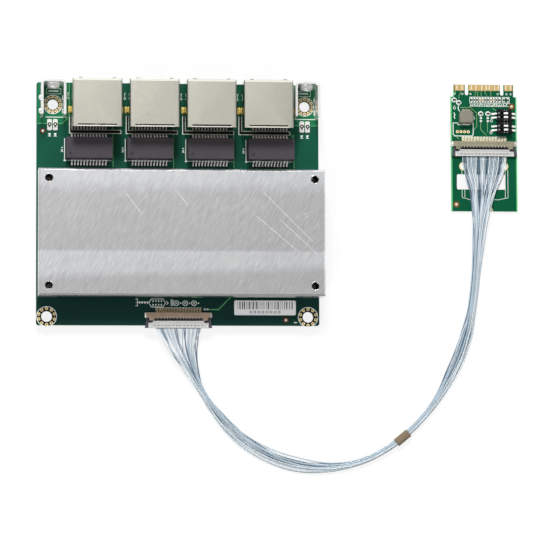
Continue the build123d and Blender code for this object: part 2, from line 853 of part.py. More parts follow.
def make_fan(name, route):
    """Wires that spread from the round bundle, the route's last point, to the flat row at a plug.

    Every run between two rectangular sections is closed with flat triangles, because its sides are twisted.
    """
    sizes = (
        (wire_count * wire_pitch, fan_t), (fan_near_w, fan_near_h), (fan_far_w, fan_far_h),
        (fan_end_w, fan_end_h),
    )
    outwards = Vector(0, -1, 0)
    directions = [outwards, outwards, outwards, heading(route[3], route[4])]
    rings = []
    for point, along, (w, h) in zip(route, directions, sizes):
        plane = cross_plane(point, along)
        corners = ((-w / 2, -h / 2), (w / 2, -h / 2), (w / 2, h / 2), (-w / 2, h / 2))
        rings.append([plane.from_local_coords((x, y, 0)) for x, y in corners])
    outlines = [rings[0][::-1], rings[-1]]
    for ring, next_ring in zip(rings, rings[1:]):
        for start in range(len(ring)):
            end = (start + 1) % len(ring)
            outlines.append([ring[start], ring[end], next_ring[end]])
            outlines.append([ring[start], next_ring[end], next_ring[start]])
    faces = [make_face(Polyline(*outline, close=True)).face() for outline in outlines]
    save(name, Solid(Shell(faces)))


def make_harness(board_end, card_end):
    """Wires gathered in one round bundle, flat where they fan out to each plug, with a tape sleeve."""
    board_fan = [tuple(board_end)] + board_fan_route
    card_fan = [tuple(card_end)] + card_fan_route[::-1]
    whole = board_fan + bundle_route + card_fan[::-1]
    whole_radii = bend_radii(whole)
    print("harness length", round(FilletPolyline(*whole, radius=whole_radii).length, 1))
    print("harness radii", [round(radius, 1) for radius in whole_radii])

    path = FilletPolyline(*bundle_route, radius=bend_radii(bundle_route))
    first = heading(bundle_route[0], bundle_route[1])
    flat_down = 180 / bundle_sides
    section = RegularPolygon(bundle_r, bundle_sides, major_radius=False, rotation=flat_down)
    bundle = sweep(cross_plane(bundle_route[0], first) * section, path=path)
    tube_volume = section.area * path.length
    print("bundle length", round(path.length, 1), "volume share", round(bundle.volume / tube_volume, 4))
    save("harness_bundle", bundle)
    make_fan("harness_board_fan", board_fan + bundle_route[:2])
    make_fan("harness_card_fan", card_fan + bundle_route[:-3:-1])

    middle = len(bundle_route) // 2
    start, end = bundle_route[middle], bundle_route[middle + 1]
    centre = (Vector(*start) + Vector(*end)) * 0.5
    along = heading(start, end)
    tape_r = bundle_r + tape_fit
    ring = RegularPolygon(tape_r + tape_t, bundle_sides, major_radius=False, rotation=flat_down)
    ring -= RegularPolygon(tape_r, bundle_sides, major_radius=False, rotation=flat_down)
    tape_plane = cross_plane(centre - along * (tape_l / 2), along)
    save("harness_tape", extrude(tape_plane * ring, amount=tape_l))


make_main_board()
make_bracket("left_bracket", left_bracket_x)
make_bracket("right_bracket", right_bracket_x)
for place, jack_x in enumerate(jack_places, start=1):
    make_shield(f"jack_{place}_shield", jack_x)
    make_housing(f"jack_{place}_housing", jack_x)
    make_jack_contacts(f"jack_{place}_contacts", jack_x)
for place, transformer_x in enumerate(transformer_places, start=1):
    make_transformer(place, transformer_x)
make_spreader()
make_chips()
make_spreader_screws()
make_status_lamps()
board_wire_end = make_cable_connector("board", board_x, board_socket_y, deck)
card_wire_end = make_cable_connector("card", card_x, card_socket_y, card_deck)
make_labels()
make_card_board()
make_edge_contacts()
make_inductor()
make_switches()
make_chip_parts()
make_harness(board_wire_end, card_wire_end)
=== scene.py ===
import json
import math
import random

import bpy
from mathutils import Matrix, Vector

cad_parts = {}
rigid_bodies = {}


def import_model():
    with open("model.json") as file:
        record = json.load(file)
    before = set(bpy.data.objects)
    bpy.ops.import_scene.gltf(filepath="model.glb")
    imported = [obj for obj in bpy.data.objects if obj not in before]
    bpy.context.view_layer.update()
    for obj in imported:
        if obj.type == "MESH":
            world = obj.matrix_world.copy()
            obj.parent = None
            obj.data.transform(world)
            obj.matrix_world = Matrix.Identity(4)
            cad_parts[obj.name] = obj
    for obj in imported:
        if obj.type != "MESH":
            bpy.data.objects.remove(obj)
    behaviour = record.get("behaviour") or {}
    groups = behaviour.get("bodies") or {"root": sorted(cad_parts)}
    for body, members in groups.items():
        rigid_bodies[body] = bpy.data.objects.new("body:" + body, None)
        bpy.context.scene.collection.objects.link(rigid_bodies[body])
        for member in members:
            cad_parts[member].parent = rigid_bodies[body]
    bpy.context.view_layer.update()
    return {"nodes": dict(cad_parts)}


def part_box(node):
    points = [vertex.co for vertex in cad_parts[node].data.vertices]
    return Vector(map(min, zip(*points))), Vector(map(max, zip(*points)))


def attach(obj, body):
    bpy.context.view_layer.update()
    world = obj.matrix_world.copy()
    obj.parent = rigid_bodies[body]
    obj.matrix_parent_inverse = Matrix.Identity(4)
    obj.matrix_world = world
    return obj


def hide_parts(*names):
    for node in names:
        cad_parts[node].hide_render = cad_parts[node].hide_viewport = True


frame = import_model()
nodes = frame["nodes"]
bpy.ops.object.select_all(action="DESELECT")

# The view, the table and the light
# Both boards lie on a white table and are seen almost from straight above. The camera stands a little to the
# left of and below the middle, so the tall pieces show their left and lower walls.
mm = 0.001
look_at = Vector((-1.6, -23.5, 3.3)) * mm
camera_distance = 1000 * mm
view_width = 179.0 * mm
sensor_width = 36.0
lean_left = math.radians(6.0)
lean_down = math.radians(4.9)
backwards = Vector((-math.tan(lean_left), -math.tan(lean_down), 1.0)).normalized()
bpy.ops.object.camera_add(location=look_at + backwards * camera_distance)
camera = bpy.context.object
level = Vector((1, 0, 0)).cross(backwards).cross(-backwards).normalized()
upright = Vector((0, 1, 0)).cross(backwards).cross(-backwards).normalized()
across = (level + upright.cross(backwards)).normalized()
camera.rotation_mode = "QUATERNION"
camera.rotation_quaternion = Matrix((across, backwards.cross(across), backwards)).transposed().to_quaternion()
camera.data.sensor_width = sensor_width
camera.data.lens = sensor_width * camera_distance / view_width
bpy.context.scene.camera = camera
bpy.context.scene.view_settings.view_transform = "Standard"


def link(tree, source, target):
    """Joins an output socket to an input socket."""
    tree.links.new(source, target)


def add_node(tree, kind, *sources, **settings):
    """Adds a node, sets what is named, and joins or sets its first inputs. Gives its first output."""
    made = tree.nodes.new(kind)
    for label, value in settings.items():
        setattr(made, label, value)
    for socket, source in zip(made.inputs, sources):
        if isinstance(source, bpy.types.NodeSocket):
            link(tree, source, socket)
        elif source is not None:
            socket.default_value = source
    return made.outputs[0]


def calculate(tree, operation, *sources):
    """A sum on one or more numbers."""
    return add_node(tree, "ShaderNodeMath", *sources, operation=operation)


table_size = 4.0
table_drop = 0.02 * mm
table_white = (0.9, 0.9, 0.9, 1)
table_shadow_share = 0.16
bpy.ops.mesh.primitive_plane_add(size=table_size, location=(0, 0, -table_drop))
table = bpy.context.object
table.name = "table"
table_finish = bpy.data.materials.new("white_table")
table_finish.use_nodes = True
tree = table_finish.node_tree
plain = tree.nodes["Principled BSDF"]
plain.inputs["Base Color"].default_value = table_white
plain.inputs["Roughness"].default_value = 0.9
bright = tree.nodes.new("ShaderNodeEmission")
light_path = tree.nodes.new("ShaderNodeLightPath")
seen = calculate(
    tree, "MAXIMUM",
    calculate(tree, "MAXIMUM", light_path.outputs["Is Camera Ray"], light_path.outputs["Is Glossy Ray"]),
    light_path.outputs["Is Transmission Ray"],
)
share = calculate(tree, "MULTIPLY", seen, 1 - table_shadow_share)
mixed = add_node(tree, "ShaderNodeMixShader", share, plain.outputs[0], bright.outputs[0])
link(tree, mixed, tree.nodes["Material Output"].inputs["Surface"])
table.data.materials.append(table_finish)

# A grey tent that is brighter towards the back lights the metal. The camera sees pure white instead of it.
tent_strength = 0.46
tent_tones = ((0.0, 0.3), (0.44, 0.63), (0.56, 0.85), (0.7, 1.0), (1.0, 1.0))
world = bpy.data.worlds.new("studio")
bpy.context.scene.world = world
world.use_nodes = True
tree = world.node_tree
tent = tree.nodes["Background"]
facing = tree.nodes.new("ShaderNodeTexCoord")
split = tree.nodes.new("ShaderNodeSeparateXYZ")
link(tree, facing.outputs["Generated"], split.inputs[0])
ramp = tree.nodes.new("ShaderNodeValToRGB")
for place, tone in tent_tones[1:-1]:
    ramp.color_ramp.elements.new(place)
for stop, (place, tone) in zip(ramp.color_ramp.elements, tent_tones):
    stop.position = place
    stop.color = (tone, tone, tone, 1)
link(tree, calculate(tree, "MULTIPLY_ADD", split.outputs["Y"], 0.5, 0.5), ramp.inputs[0])
link(tree, ramp.outputs[0], tent.inputs["Color"])
tent.inputs["Strength"].default_value = tent_strength
backdrop = tree.nodes.new("ShaderNodeBackground")
backdrop.inputs["Color"].default_value = (1, 1, 1, 1)
light_path = tree.nodes.new("ShaderNodeLightPath")
mixed = add_node(
    tree, "ShaderNodeMixShader", light_path.outputs["Is Camera Ray"], tent.outputs[0], backdrop.outputs[0]
)
link(tree, mixed, tree.nodes["World Output"].inputs["Surface"])

lamps = (
    ("back_softbox", (-0.15, 0.82, 1.08), 0.3, 15.5),
    ("front_softbox", (-0.5, -0.75, 1.05), 0.6, 6.5),
)
for name, place, size, watts in lamps:
    bpy.ops.object.light_add(type="AREA", location=place)
    lamp = bpy.context.object
    lamp.name = name
    lamp.data.size = size
    lamp.data.energy = watts
    lamp.rotation_mode = "QUATERNION"
    lamp.rotation_quaternion = (Vector(place) - look_at).to_track_quat("Z", "Y")
    lamp.visible_camera = False


# The main board
# Glass-fibre board under dark green solder mask, milled to size, so its edges are bare. The copper below the
# mask shows as paler fields at the front corners and as thin pale lines.
def make_surface_group():
    """A colour with slow changes of tone, and a fine grain in the roughness and the relief."""
    made = bpy.data.node_groups.new("surface", "ShaderNodeTree")
    for label, kind, value in (
        ("Color", "Color", (0.5, 0.5, 0.5, 1)), ("Tone", "Float", 0.1), ("Tone Scale", "Float", 60.0),
        ("Grain Scale", "Float", 3000.0), ("Grain Turn", "Vector", (0, 0, 0)),
        ("Grain Stretch", "Vector", (1, 1, 1)), ("Grain Tone", "Float", 0.05), ("Roughness", "Float", 0.5),
        ("Roughness Spread", "Float", 0.1), ("Relief", "Float", 0.000005),
    ):
        socket = made.interface.new_socket(name=label, in_out="INPUT", socket_type=f"NodeSocket{kind}")
        socket.default_value = value
    for label, kind in (("Color", "Color"), ("Roughness", "Float"), ("Normal", "Vector")):
        made.interface.new_socket(name=label, in_out="OUTPUT", socket_type=f"NodeSocket{kind}")
    given = made.nodes.new("NodeGroupInput").outputs
    result = made.nodes.new("NodeGroupOutput").inputs
    place = made.nodes.new("ShaderNodeTexCoord").outputs["Object"]
    slow = add_node(made, "ShaderNodeTexNoise", place)
    link(made, given["Tone Scale"], slow.node.inputs["Scale"])
    turned = made.nodes.new("ShaderNodeMapping")
    link(made, place, turned.inputs["Vector"])
    link(made, given["Grain Turn"], turned.inputs["Rotation"])
    along = add_node(
        made, "ShaderNodeVectorMath", turned.outputs[0], given["Grain Stretch"], operation="MULTIPLY"
    )
    grain = add_node(made, "ShaderNodeTexNoise", along)
    grain.node.inputs["Detail"].default_value = 4.0
    link(made, given["Grain Scale"], grain.node.inputs["Scale"])
    slow_part = calculate(made, "MULTIPLY", calculate(made, "SUBTRACT", slow, 0.5), given["Tone"])
    centred = calculate(made, "SUBTRACT", grain, 0.5)
    fine_part = calculate(made, "MULTIPLY", centred, given["Grain Tone"])
    amount = calculate(made, "ADD", calculate(made, "ADD", slow_part, fine_part), 1.0)
    toned = made.nodes.new("ShaderNodeVectorMath")
    toned.operation = "SCALE"
    link(made, given["Color"], toned.inputs[0])
    link(made, amount, toned.inputs["Scale"])
    link(made, toned.outputs[0], result["Color"])
    spread = calculate(made, "MULTIPLY", centred, given["Roughness Spread"])
    link(made, calculate(made, "ADD", spread, given["Roughness"]), result["Roughness"])
    bump = made.nodes.new("ShaderNodeBump")
    bump.inputs["Distance"].default_value = 1.0
    link(made, calculate(made, "MULTIPLY", grain, given["Relief"]), bump.inputs["Height"])
    link(made, bump.outputs[0], result["Normal"])
    return made


surface_group = make_surface_group()


def finish(name, colour, metallic=0.0, coat=0.0, specular=0.5, **settings):
    """A material: the shared surface group, set as named, and a shader."""
    material = bpy.data.materials.new(name)
    material.use_nodes = True
    tree = material.node_tree
    shader = tree.nodes["Principled BSDF"]
    surface = tree.nodes.new("ShaderNodeGroup")
    surface.name = "surface"
    surface.node_tree = surface_group
    surface.inputs["Color"].default_value = (*colour, 1)
    for label, value in settings.items():
        surface.inputs[label.replace("_", " ").title()].default_value = value
    link(tree, surface.outputs["Color"], shader.inputs["Base Color"])
    link(tree, surface.outputs["Roughness"], shader.inputs["Roughness"])
    link(tree, surface.outputs["Normal"], shader.inputs["Normal"])
    shader.inputs["Metallic"].default_value = metallic
    shader.inputs["Coat Weight"].default_value = coat
    shader.inputs["Specular IOR Level"].default_value = specular
    return material


def upright_mask(tree):
    """One on upright faces and nought on level ones."""
    facing = tree.nodes.new("ShaderNodeTexCoord").outputs["Normal"]
    split = add_node(tree, "ShaderNodeSeparateXYZ", facing).node
    return calculate(tree, "LESS_THAN", calculate(tree, "ABSOLUTE", split.outputs["Z"]), 0.5)


def place_along(tree, axis, low, high):
    """Nought below one place in millimetres on an axis, one above another, and even steps between."""
    place = tree.nodes.new("ShaderNodeTexCoord").outputs["Object"]
    split = add_node(tree, "ShaderNodeSeparateXYZ", place).node
    return add_node(tree, "ShaderNodeMapRange", split.outputs[axis], low * mm, high * mm, 0.0, 1.0)


def blend(tree, share, first, second):
    """Mixes two colours by a share. Each is a colour or a socket."""
    mixer = tree.nodes.new("ShaderNodeMix")
    mixer.data_type = "RGBA"
    link(tree, share, mixer.inputs["Factor"])
    for socket, colour in ((mixer.inputs[6], first), (mixer.inputs[7], second)):
        if isinstance(colour, tuple):
            socket.default_value = (*colour, 1)
        else:
            link(tree, colour, socket)
    return mixer.outputs[2]


def dress(material, *names):
    """Gives CAD nodes a finish."""
    for name in names:
        nodes[name].data.materials.clear()
        nodes[name].data.materials.append(material)


def open_piece(name):
    """Starts an empty piece in edit mode, for primitives to be added to."""
    bpy.ops.object.select_all(action="DESELECT")
    piece = bpy.data.objects.new(name, bpy.data.meshes.new(name))
    bpy.context.scene.collection.objects.link(piece)
    piece.select_set(True)
    bpy.context.view_layer.objects.active = piece
    bpy.ops.object.mode_set(mode="EDIT")
    return piece


def close_piece(material, smooth_angle=30):
    """Ends the open piece: faces outwards, edges shaded by angle, and its material and body."""
    piece = bpy.context.object
    bpy.ops.mesh.select_all(action="SELECT")
    bpy.ops.mesh.normals_make_consistent(inside=False)
    bpy.ops.object.mode_set(mode="OBJECT")
    bpy.ops.object.shade_smooth_by_angle(angle=math.radians(smooth_angle))
    piece.data.materials.clear()
    piece.data.materials.append(material)
    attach(piece, "module")
    bpy.ops.object.select_all(action="DESELECT")
    return piece


def copy_piece(piece, name, shift_x, shift_y=0.0):
    """A copy of a finished piece with a mesh of its own, moved by millimetres."""
    bpy.ops.object.select_all(action="DESELECT")
    twin = bpy.data.objects.new(name, piece.data.copy())
    twin.data.name = name
    bpy.context.scene.collection.objects.link(twin)
    twin.select_set(True)
    bpy.context.view_layer.objects.active = twin
    bpy.ops.object.mode_set(mode="EDIT")
    bpy.ops.mesh.select_all(action="SELECT")
    bpy.ops.transform.translate(value=(shift_x * mm, shift_y * mm, 0))
    bpy.ops.object.mode_set(mode="OBJECT")
    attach(twin, "module")
    bpy.ops.object.select_all(action="DESELECT")


def copy_to_others(piece, middles):
    """Copies the first jack's or transformer's piece to the other three, each named after its own."""
    for number in (2, 3, 4):
        copy_piece(piece, piece.name.replace("_1_", f"_{number}_"), middles[number - 1] - middles[0])


def repeat_piece(count, step_x, step_y=0.0, step_z=0.0):
    """Repeats what the open piece holds so far at even steps in millimetres."""
    piece = bpy.context.object
    bpy.ops.object.mode_set(mode="OBJECT")
    steps = piece.modifiers.new("steps", "ARRAY")
    steps.use_relative_offset = False
    steps.use_constant_offset = True
    steps.constant_offset_displace = (step_x * mm, step_y * mm, step_z * mm)
    steps.count = count
    bpy.ops.object.modifier_apply(modifier=steps.name)
    bpy.ops.object.mode_set(mode="EDIT")


merge_reach = 0.001 * mm


def rounded_copy(name, width, material, segments=2):
    """A merged copy of a CAD node with its sharp edges rounded. It stands for the node."""
    piece = open_piece(f"{name}_rounded")
    bpy.ops.object.mode_set(mode="OBJECT")
    piece.data = nodes[name].data.copy()
    if piece.data.has_custom_normals:
        bpy.ops.mesh.customdata_custom_splitnormals_clear()
    bpy.ops.object.mode_set(mode="EDIT")
    bpy.ops.mesh.select_all(action="SELECT")
    bpy.ops.mesh.remove_doubles(threshold=merge_reach)
    bpy.ops.mesh.dissolve_limited(angle_limit=math.radians(1))
    bpy.ops.object.mode_set(mode="OBJECT")
    edges = piece.modifiers.new("edges", "BEVEL")
    edges.width = width * mm
    edges.segments = segments
    edges.limit_method = "ANGLE"
    edges.angle_limit = math.radians(40)
    edges.harden_normals = False
    bpy.ops.object.modifier_apply(modifier=edges.name)
    bpy.ops.object.mode_set(mode="EDIT")
    close_piece(material, smooth_angle=5)
    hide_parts(name)


def add_plate(x, y, width, depth, low, thick, turn=0.0):
    """A flat plate by its middle, in millimetres."""
    bpy.ops.mesh.primitive_cube_add(
        size=1, location=(x * mm, y * mm, (low + thick / 2) * mm), rotation=(0, 0, turn),
        scale=(width * mm, depth * mm, thick * mm),
    )


hair = 0.003


def add_bars(points, width, low, thick):
    """Flat bars from point to point, in millimetres. Each one tops the one before by a hair."""
    for step, ((x0, y0), (x1, y1)) in enumerate(zip(points, points[1:])):
        length = math.hypot(x1 - x0, y1 - y0)
        turn = math.atan2(y1 - y0, x1 - x0)
        add_plate((x0 + x1) / 2, (y0 + y1) / 2, length + width, width, low, thick + step * hair, turn)


def add_disc(x, y, radius, low, thick, sides=20, squash=1.0):
    """A flat disc or oval by its middle, in millimetres."""
    bpy.ops.mesh.primitive_cylinder_add(
        vertices=sides, radius=radius * mm, depth=thick * mm,
        location=(x * mm, y * mm, (low + thick / 2) * mm), scale=(1, squash, 1),
    )


def add_ring(x, y, inner, outer, low, thick, sides):
    """A flat ring: a circle drawn outwards and then upwards, in millimetres."""
    middle = Vector((x, y, low)) * mm
    bpy.ops.mesh.primitive_circle_add(vertices=sides, radius=inner * mm, location=middle)
    bpy.ops.mesh.extrude_edges_move()
    bpy.ops.transform.resize(value=(outer / inner, outer / inner, 1), center_override=middle)
    bpy.ops.mesh.select_linked()
    bpy.ops.mesh.extrude_region_move(TRANSFORM_OT_translate={"value": (0, 0, thick * mm)})


def cut_hole(x, y, radius):
    """Cuts a round hole through what the open piece holds so far."""
    piece = bpy.context.object
    cutter_length, cutter_middle = 8 * mm, 3 * mm
    bpy.ops.object.mode_set(mode="OBJECT")
    bpy.ops.mesh.primitive_cylinder_add(
        vertices=40, radius=radius * mm, depth=cutter_length, location=(x * mm, y * mm, cutter_middle)
    )
    cutter = bpy.context.object
    bpy.ops.object.select_all(action="DESELECT")
    piece.select_set(True)
    bpy.context.view_layer.objects.active = piece
    hole = piece.modifiers.new("hole", "BOOLEAN")
    hole.operation = "DIFFERENCE"
    hole.solver = "EXACT"
    hole.object = cutter
    bpy.ops.object.modifier_apply(modifier=hole.name)
    bpy.data.objects.remove(cutter)
    bpy.ops.object.mode_set(mode="EDIT")


def spin_copies(count, x, y):
    """Copies what is selected round a middle, in millimetres, so that there are this many."""
    bpy.ops.mesh.spin(
        steps=count - 1, dupli=True, angle=math.tau * (count - 1) / count, center=(x * mm, y * mm, 0),
        axis=(0, 0, 1),
    )


def in_mm(node):
    """A CAD node's low corner and high corner, in millimetres."""
    low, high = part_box(node)
    return Vector(low) / mm, Vector(high) / mm


board_low, board_high = in_mm("main_board")
deck = board_high.z
mask_colour = (0.004, 0.074, 0.042)
# Painted shadow: the mask is darker towards the rear edge, where the heat spreader's shadow falls.
rear_shadow_colour = (0.004, 0.035, 0.027)
bare_edge_colour = (0.2, 0.32, 0.14)
rear_shadow_fade = (-32.0, -18.0)
board_mask = finish(
    "board_mask", mask_colour, specular=0.12, tone=0.45, tone_scale=45.0, grain_scale=2200.0, grain_tone=0.12,
    roughness=0.35,
)
tree = board_mask.node_tree
shadowed = blend(tree, place_along(tree, "Y", *rear_shadow_fade), rear_shadow_colour, mask_colour)
edged = blend(tree, upright_mask(tree), shadowed, bare_edge_colour)
link(tree, edged, tree.nodes["surface"].inputs["Color"])
dress(board_mask, "main_board")

jacks = [in_mm(f"jack_{number}_shield") for number in (1, 2, 3, 4)]
jack_middles = [(low.x + high.x) / 2 for low, high in jacks]
transformers = [in_mm(f"transformer_{number}_body") for number in (1, 2, 3, 4)]
transformer_middles = [(low.x + high.x) / 2 for low, high in transformers]
transformer_y = (transformers[0][0].y + transformers[0][1].y) / 2
brackets = [in_mm("left_bracket"), in_mm("right_bracket")]
bracket_middles = [(low.x + high.x) / 2 for low, high in brackets]
first_jack = jack_middles[0]
first_transformer = transformer_middles[0]
first_bracket = bracket_middles[0]

field_rise = 0.02
field_width = 10.4
field_depth = 13.2
field_cut = 2.3
field_margin = 0.25
field_hole = 1.8
front_hole_y = 31.75
trace_rise = 0.03
field_finish = finish(
    "masked_copper", (0.009, 0.15, 0.062), specular=0.15, tone=0.4, tone_scale=90.0, roughness=0.35
)
line_finish = finish("bright_copper_line", (0.1, 0.36, 0.14), specular=0.15, roughness=0.4)
field_front = board_high.y - field_margin
field_rear = field_front - field_depth
for name, side, edge_x, hole_x in (("left", 1, board_low.x, -73.85), ("right", -1, board_high.x, 8.35)):
    outer_x = edge_x + side * field_margin
    inner_x = outer_x + side * field_width
    x, y = (outer_x + inner_x) / 2, field_rear + field_depth / 2
    open_piece(f"{name}_copper_field")
    add_plate(x, y, field_width, field_depth, deck, field_rise)
    bpy.ops.mesh.bisect(
        plane_co=(inner_x * mm, (field_rear + field_cut) * mm, deck * mm), plane_no=(side, -1, 0),
        use_fill=True, clear_outer=True,
    )
    cut_hole(hole_x, front_hole_y, field_hole)
    close_piece(field_finish)
    open_piece(f"{name}_copper_border")
    border = [
        (inner_x, field_front), (inner_x, field_rear + field_cut), (inner_x - side * field_cut, field_rear),
        (outer_x, field_rear),
    ]
    add_bars(border, 0.25, deck + field_rise, trace_rise)
    close_piece(line_finish)

open_piece("board_copper_lines")
add_bars([(first_transformer + 7.9, 22.4), (first_transformer + 7.9, 11.5)], 0.3, deck, trace_rise)
copper_lines = close_piece(line_finish)
for number, x in zip((2, 3, 4), transformer_middles[1:]):
    copy_piece(copper_lines, f"board_copper_lines_{number}", x - first_transformer)
open_piece("board_rear_copper_lines")
add_bars([(-23.0, -34.85), (-20.1, -34.85), (-16.1, -30.8)], 0.35, deck, trace_rise)
add_bars([(-28.9, -30.9), (-25.6, -30.9)], 0.2, deck, trace_rise)
add_bars([(4.8, 21.4), (2.9, 23.4)], 0.3, deck, trace_rise)
close_piece(line_finish)

# Ink and painted shadow sheets on the main board
# White ink is printed on the mask round each jack and line transformer, and at the free places near the cable
# connector. Thin black sheets inside the jack and transformer outlines are painted shadow, not real parts.
ink_width = 0.24
fine_width = 0.16
ink_rise = 0.05
crossing_rise = ink_rise + 0.004
ink = finish("white_ink", (0.78, 0.84, 0.78), tone=0.15, tone_scale=300.0, roughness=0.6)


def box_points(x0, y0, x1, y1):
    """The corners of a box in order, back to the first."""
    return [(x0, y0), (x1, y0), (x1, y1), (x0, y1), (x0, y0)]


def add_cross(x0, y0, x1, y1, width):
    """Two crossing bars of ink on the main board, from corner to corner."""
    add_bars([(x0, y0), (x1, y1)], width, deck, ink_rise)
    add_bars([(x0, y1), (x1, y0)], width, deck, crossing_rise)


left, right = first_jack - 8.5, first_jack + 8.2
open_piece("jack_1_outline")
add_bars([(left, 28.2), (left, 22.4), (right, 22.4), (right, 23.4)], ink_width, deck, ink_rise)
add_bars([(left - 0.5, 34.6), (left - 0.5, 35.6), (left - 0.2, 35.6)], fine_width, deck, ink_rise)
add_ring(left - 0.45, 33.9, 0.22, 0.36, deck, ink_rise, 12)
copy_to_others(close_piece(ink), jack_middles)
left, right = first_transformer - 7.85, first_transformer + 7.3
open_piece("transformer_1_outline")
add_bars([(left, 20.6), (left, 13.55), (right, 13.55)], ink_width, deck, ink_rise)
add_disc(left + 0.05, 13.5, 0.34, deck, ink_rise)
add_cross(left - 1.1, 16.3, left - 0.55, 17.1, 0.18)
add_plate(left - 0.8, 17.7, 0.5, 0.3, deck, ink_rise)
copy_to_others(close_piece(ink), transformer_middles)

sheet_rise = 0.03
strip_rise = sheet_rise + hair
painted_shadow_black = finish("insulating_sheet", (0.004, 0.007, 0.007), specular=0.15, roughness=0.4)
# Painted shadow: a black sheet in the shaded gap behind the jack.
open_piece("jack_1_insulator")
add_plate(first_jack - 0.15, 25.4, 16.5, 5.8, deck, sheet_rise)
copy_to_others(close_piece(painted_shadow_black), jack_middles)
# Painted shadow: a black sheet round the transformer and in the gaps between its leads.
open_piece("transformer_1_insulator")
add_plate(first_transformer - 0.25, 17.0, 15.1, 6.8, deck, sheet_rise)
add_plate(first_transformer, transformer_y - 4.4, 12.0, 2.2, deck, strip_rise)
add_plate(first_transformer, transformer_y + 4.4, 12.0, 1.6, deck, strip_rise)
copy_to_others(close_piece(painted_shadow_black), transformer_middles)

open_piece("left_bracket_outline")
add_bars([(first_bracket - 2.3, 27.6), (first_bracket + 4.3, 27.6)], ink_width, deck, ink_rise)
add_bars(box_points(first_bracket - 2.1, 35.2, first_bracket + 2.6, 36.9), fine_width, deck, ink_rise)
add_plate(first_bracket + 0.2, 36.1, 3.2, 0.5, deck, ink_rise)
bracket_outline = close_piece(ink)
copy_piece(bracket_outline, "right_bracket_outline", bracket_middles[1] - first_bracket - 0.6)

# Free footprints in front of the cable connector: a round-ended one with eight pads, a comb, and three rings.
x, y = -40.0, -32.75
open_piece("round_footprint")
add_plate(x - 1.35, y - 0.6, 0.4, 0.5, deck, ink_rise)
repeat_piece(4, 0.9)
repeat_piece(2, 0, 1.2)
rounded_outline = [
    (x - 2.7, y), (x - 1.9, y + 1.3), (x + 1.9, y + 1.3), (x + 2.7, y), (x + 1.9, y - 1.3),
    (x - 1.9, y - 1.3), (x - 2.7, y),
]
add_bars(rounded_outline, 0.2, deck, ink_rise)
add_bars([(x + 3.1, y - 0.5), (x + 3.6, y), (x + 3.1, y + 0.5)], 0.2, deck, ink_rise)
close_piece(ink)
open_piece("comb_mark")
add_plate(-45.7, -32.6, 0.42, 0.7, deck, ink_rise)
repeat_piece(4, 0.85)
add_bars([(-46.9, -31.5), (-46.4, -31.5), (-46.4, -33.7), (-46.9, -33.7)], 0.2, deck, ink_rise)
add_bars([(-46.9, -32.6), (-42.9, -32.6)], fine_width, deck, crossing_rise)
close_piece(ink)
open_piece("ring_footprint_1")
add_ring(-33.8, -32.8, 0.72, 0.92, deck, ink_rise, 20)
add_cross(-34.25, -33.25, -33.35, -32.35, 0.14)
add_disc(-32.35, -32.8, 0.24, deck, ink_rise, 10)
ring_footprint = close_piece(ink)
copy_piece(ring_footprint, "ring_footprint_2", 2.9)
copy_piece(ring_footprint, "ring_footprint_3", 5.75)
open_piece("footprint_end_blocks")
add_plate(-35.5, -32.65, 0.25, 2.1, deck, ink_rise)
repeat_piece(2, 0.55)
close_piece(ink)
open_piece("board_rear_marks")
add_ring(-24.5, -34.8, 0.2, 0.36, deck, ink_rise, 12)
add_disc(-23.6, -34.8, 0.28, deck, ink_rise, 12)
add_plate(5.0, -39.0, 1.0, 0.3, deck, ink_rise)
close_piece(ink)

# Rings and pads on the main board
# Each fixing hole has a black clearance ring, small gilt pads with a plated hole in each, and a ring of ink
# outside. Long gilt pads surround the jacks' earth legs, and the transformers' leads stand on tinned pads.
hole_radius = 1.75
pad_rise = 0.06
pad_lift = 0.03
via_rise = 0.02
gilt = finish("gilt_pad", (1.0, 0.82, 0.45), metallic=0.2, tone=0.2, tone_scale=700.0, roughness=0.3)
pale_tin = finish("pale_tin", (0.74, 0.74, 0.7), metallic=0.3, tone=0.2, tone_scale=900.0, roughness=0.35)
black_gap = finish("black_gap", (0.006, 0.008, 0.007), specular=0.1, roughness=0.6)
via_brown = finish("via_brown", (0.05, 0.012, 0.006), specular=0.1, roughness=0.5)
for row, x, y, reach, count, twin_x in (
    ("front", first_bracket, front_hole_y, 2.42, 12, bracket_middles[1]),
    ("rear", -75.75, -37.25, 2.6, 10, 9.15),
):
    open_piece(f"{row}_fixing_pads")
    add_disc(x, y + reach, 0.54, deck + pad_lift, pad_rise, 16, 0.88)
    spin_copies(count, x, y)
    pads = close_piece(gilt)
    open_piece(f"{row}_fixing_outline")
    add_ring(x, y, reach + 0.5, reach + 0.72, deck, pad_rise, 48)
    outline = close_piece(ink)
    open_piece(f"{row}_fixing_clearance")
    add_ring(x, y, hole_radius + 0.03, reach + 0.45, deck, 0.045, 40)
    clearance = close_piece(black_gap)
    open_piece(f"{row}_fixing_vias")
    add_disc(x, y + reach + 0.03, 0.2, deck + pad_lift + pad_rise, via_rise, 12)
    spin_copies(count, x, y)
    vias = close_piece(via_brown)
    for piece in (pads, outline, clearance, vias):
        copy_piece(piece, f"{piece.name}_right", twin_x - x)

leg_x, leg_y = first_jack - 8.52, 30.15
leg_gold = finish(
    "leg_pad_gilt", (0.95, 0.72, 0.16), metallic=0.3, tone=0.2, tone_scale=500.0, roughness=0.28
)
open_piece("jack_1_leg_pads")
add_plate(leg_x, leg_y, 0.8, 1.6, deck, pad_rise + 0.004)
add_disc(leg_x, leg_y - 0.8, 0.4, deck, pad_rise, 16)
add_disc(leg_x, leg_y + 0.8, 0.4, deck, pad_rise, 16)
repeat_piece(2, 17.04)
copy_to_others(close_piece(leg_gold), jack_middles)

